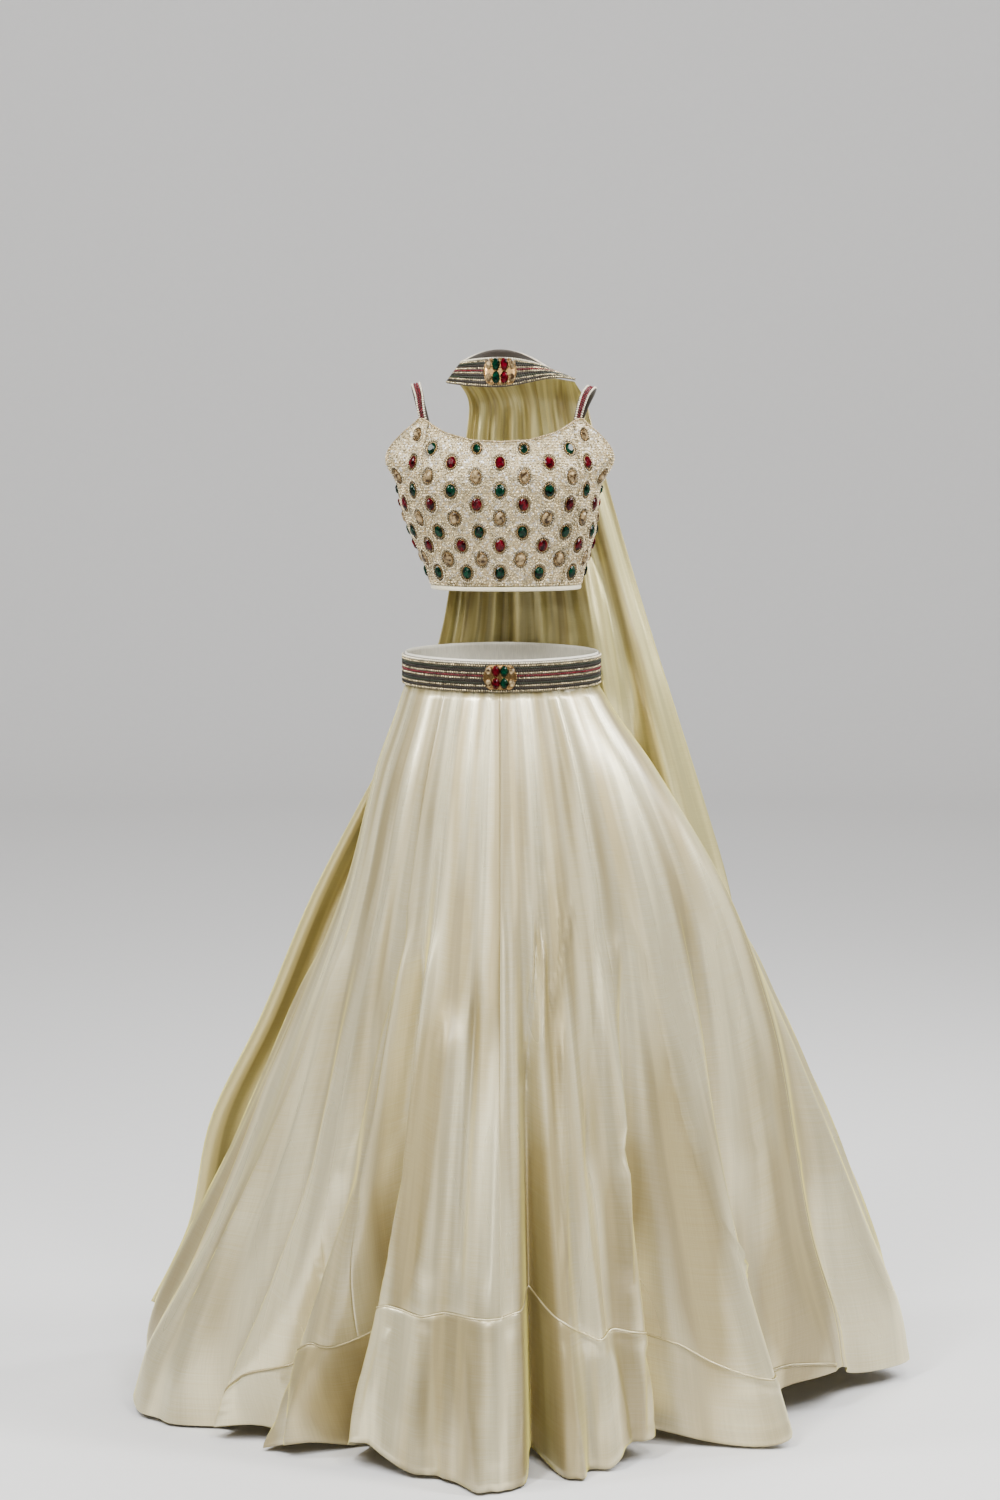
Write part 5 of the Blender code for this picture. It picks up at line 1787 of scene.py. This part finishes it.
# Stage
class LEHENGA_OT_stage(bpy.types.Operator):
    """Make the studio's floor and wall, its soft lights and the camera"""

    bl_idname = "lehenga.stage"
    bl_label = "Stage"

    def execute(self, context):
        scene = context.scene
        settings = scene.lehenga_stage
        shader = Shader("studio paper")
        grain = shader.noise("Object", (40.0, 40.0, 40.0), 3.0)
        tone = tuple(settings.floor)
        shade = shader.ramp(grain, "Fac", (0.3, darker(tone, 0.985)), (0.7, tone))
        shader.set(Roughness=0.9, Specular_IOR_Level=0.1)
        paper = shader.finish((shade, 0))
        rim, sides = FLOOR_RADII[-1], FLOOR_SIDES
        profile = [(radius, 0.0) for radius in FLOOR_RADII]
        for turn in np.linspace(0.12, 0.5 * math.pi, 12):
            curve = RIM_CURVE * math.sin(turn), RIM_CURVE - RIM_CURVE * math.cos(turn)
            profile.append((rim + curve[0], curve[1]))
        profile.append((rim + RIM_CURVE, WALL_HEIGHT))
        verts, faces = [(0.0, 0.0, FLOOR_Z)], []
        for radius, z in profile:
            for k in range(sides):
                turn = 2.0 * math.pi * k / sides
                verts.append((radius * math.cos(turn), radius * math.sin(turn), FLOOR_Z + z))
        for k in range(sides):
            n = (k + 1) % sides
            faces.append((0, 1 + k, 1 + n))
            for r in range(len(profile) - 1):
                a = 1 + r * sides
                faces.append((a + k, a + sides + k, a + sides + n, a + n))
        data = bpy.data.meshes.new("studio_floor")
        data.from_pydata(verts, [], faces)
        data.shade_smooth()
        data.materials.append(paper)
        floor = bpy.data.objects.new("studio_floor", data)
        scene.collection.objects.link(floor)
        floor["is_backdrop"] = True

        for name, place, aim, width, length, power in LIGHTS:
            light = bpy.data.lights.new(name, "AREA")
            light.shape = "RECTANGLE"
            light.size, light.size_y = width, length
            light.energy = power
            light.color = LIGHT_COLOUR
            lamp = bpy.data.objects.new(name, light)
            lamp.location = place
            direction = Vector(aim) - Vector(place)
            lamp.rotation_euler = direction.to_track_quat("-Z", "Y").to_euler()
            lamp.visible_camera = False
            scene.collection.objects.link(lamp)
        world = bpy.data.worlds.new("studio")
        world.use_nodes = True
        sky = world.node_tree.nodes["Background"].inputs
        sky["Color"].default_value = (0.9, 0.9, 0.9, 1.0)
        sky["Strength"].default_value = WORLD_STRENGTH
        scene.world = world

        camera_data = bpy.data.cameras.new("camera")
        camera_data.lens = settings.lens
        camera_data.sensor_width = 36.0
        camera = bpy.data.objects.new("camera", camera_data)
        camera.location = CAMERA_PLACE
        camera.rotation_euler = (math.radians(90.0 - CAMERA_DOWN_DEG), 0.0, 0.0)
        scene.collection.objects.link(camera)
        scene.camera = camera
        return {"FINISHED"}


class LEHENGA_PT_panel(bpy.types.Panel):
    """Lists the set's settings and its operators in the sidebar"""

    bl_idname = "LEHENGA_PT_panel"
    bl_label = "Lehenga Set"
    bl_space_type = "VIEW_3D"
    bl_region_type = "UI"
    bl_category = "Lehenga"

    def draw(self, context):
        for title, name, operators in PANEL_ROWS:
            box = self.layout.box()
            box.label(text=title)
            group = getattr(context.scene, name)
            for key in group.__annotations__:
                box.prop(group, key)
            for operator in operators:
                box.operator(operator)


PANEL_ROWS = (
    ("Skirt", "lehenga_skirt", ("lehenga.skirt", "lehenga.waist")),
    ("Choli", "lehenga_choli", ("lehenga.choli", "lehenga.stones", "lehenga.straps")),
    ("Dupatta", "lehenga_dupatta", ("lehenga.choker", "lehenga.dupatta")),
    ("Beads", "lehenga_beads", ("lehenga.clasps",)),
    ("Stage", "lehenga_stage", ("lehenga.stage",)),
)
SETTINGS = {
    "lehenga_skirt": SkirtSettings,
    "lehenga_choli": CholiSettings,
    "lehenga_dupatta": DupattaSettings,
    "lehenga_beads": BeadSettings,
    "lehenga_stage": StageSettings,
}
OPERATORS = (
    LEHENGA_OT_skirt,
    LEHENGA_OT_waist,
    LEHENGA_OT_choli,
    LEHENGA_OT_stones,
    LEHENGA_OT_straps,
    LEHENGA_OT_choker,
    LEHENGA_OT_dupatta,
    LEHENGA_OT_clasps,
    LEHENGA_OT_stage,
)


def register():
    for group in SETTINGS.values():
        bpy.utils.register_class(group)
    for name, group in SETTINGS.items():
        setattr(bpy.types.Scene, name, bpy.props.PointerProperty(type=group))
    for operator in OPERATORS:
        bpy.utils.register_class(operator)
    bpy.utils.register_class(LEHENGA_PT_panel)


def unregister():
    bpy.utils.unregister_class(LEHENGA_PT_panel)
    for operator in reversed(OPERATORS):
        bpy.utils.unregister_class(operator)
    for name in SETTINGS:
        delattr(bpy.types.Scene, name)
    for group in reversed(SETTINGS.values()):
        bpy.utils.unregister_class(group)


def main():
    register()
    bpy.ops.lehenga.skirt()
    bpy.ops.lehenga.waist()
    bpy.ops.lehenga.choli()
    bpy.ops.lehenga.stones()
    bpy.ops.lehenga.straps()
    bpy.ops.lehenga.choker()
    bpy.ops.lehenga.dupatta()
    bpy.ops.lehenga.clasps()
    bpy.ops.lehenga.stage()
    sizes = {"cad": CAD_BOUNDS, "visual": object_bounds()}
    plain = {key: [[float(v) for v in corner] for corner in box] for key, box in sizes.items()}


if __name__ == "__main__":
    main()
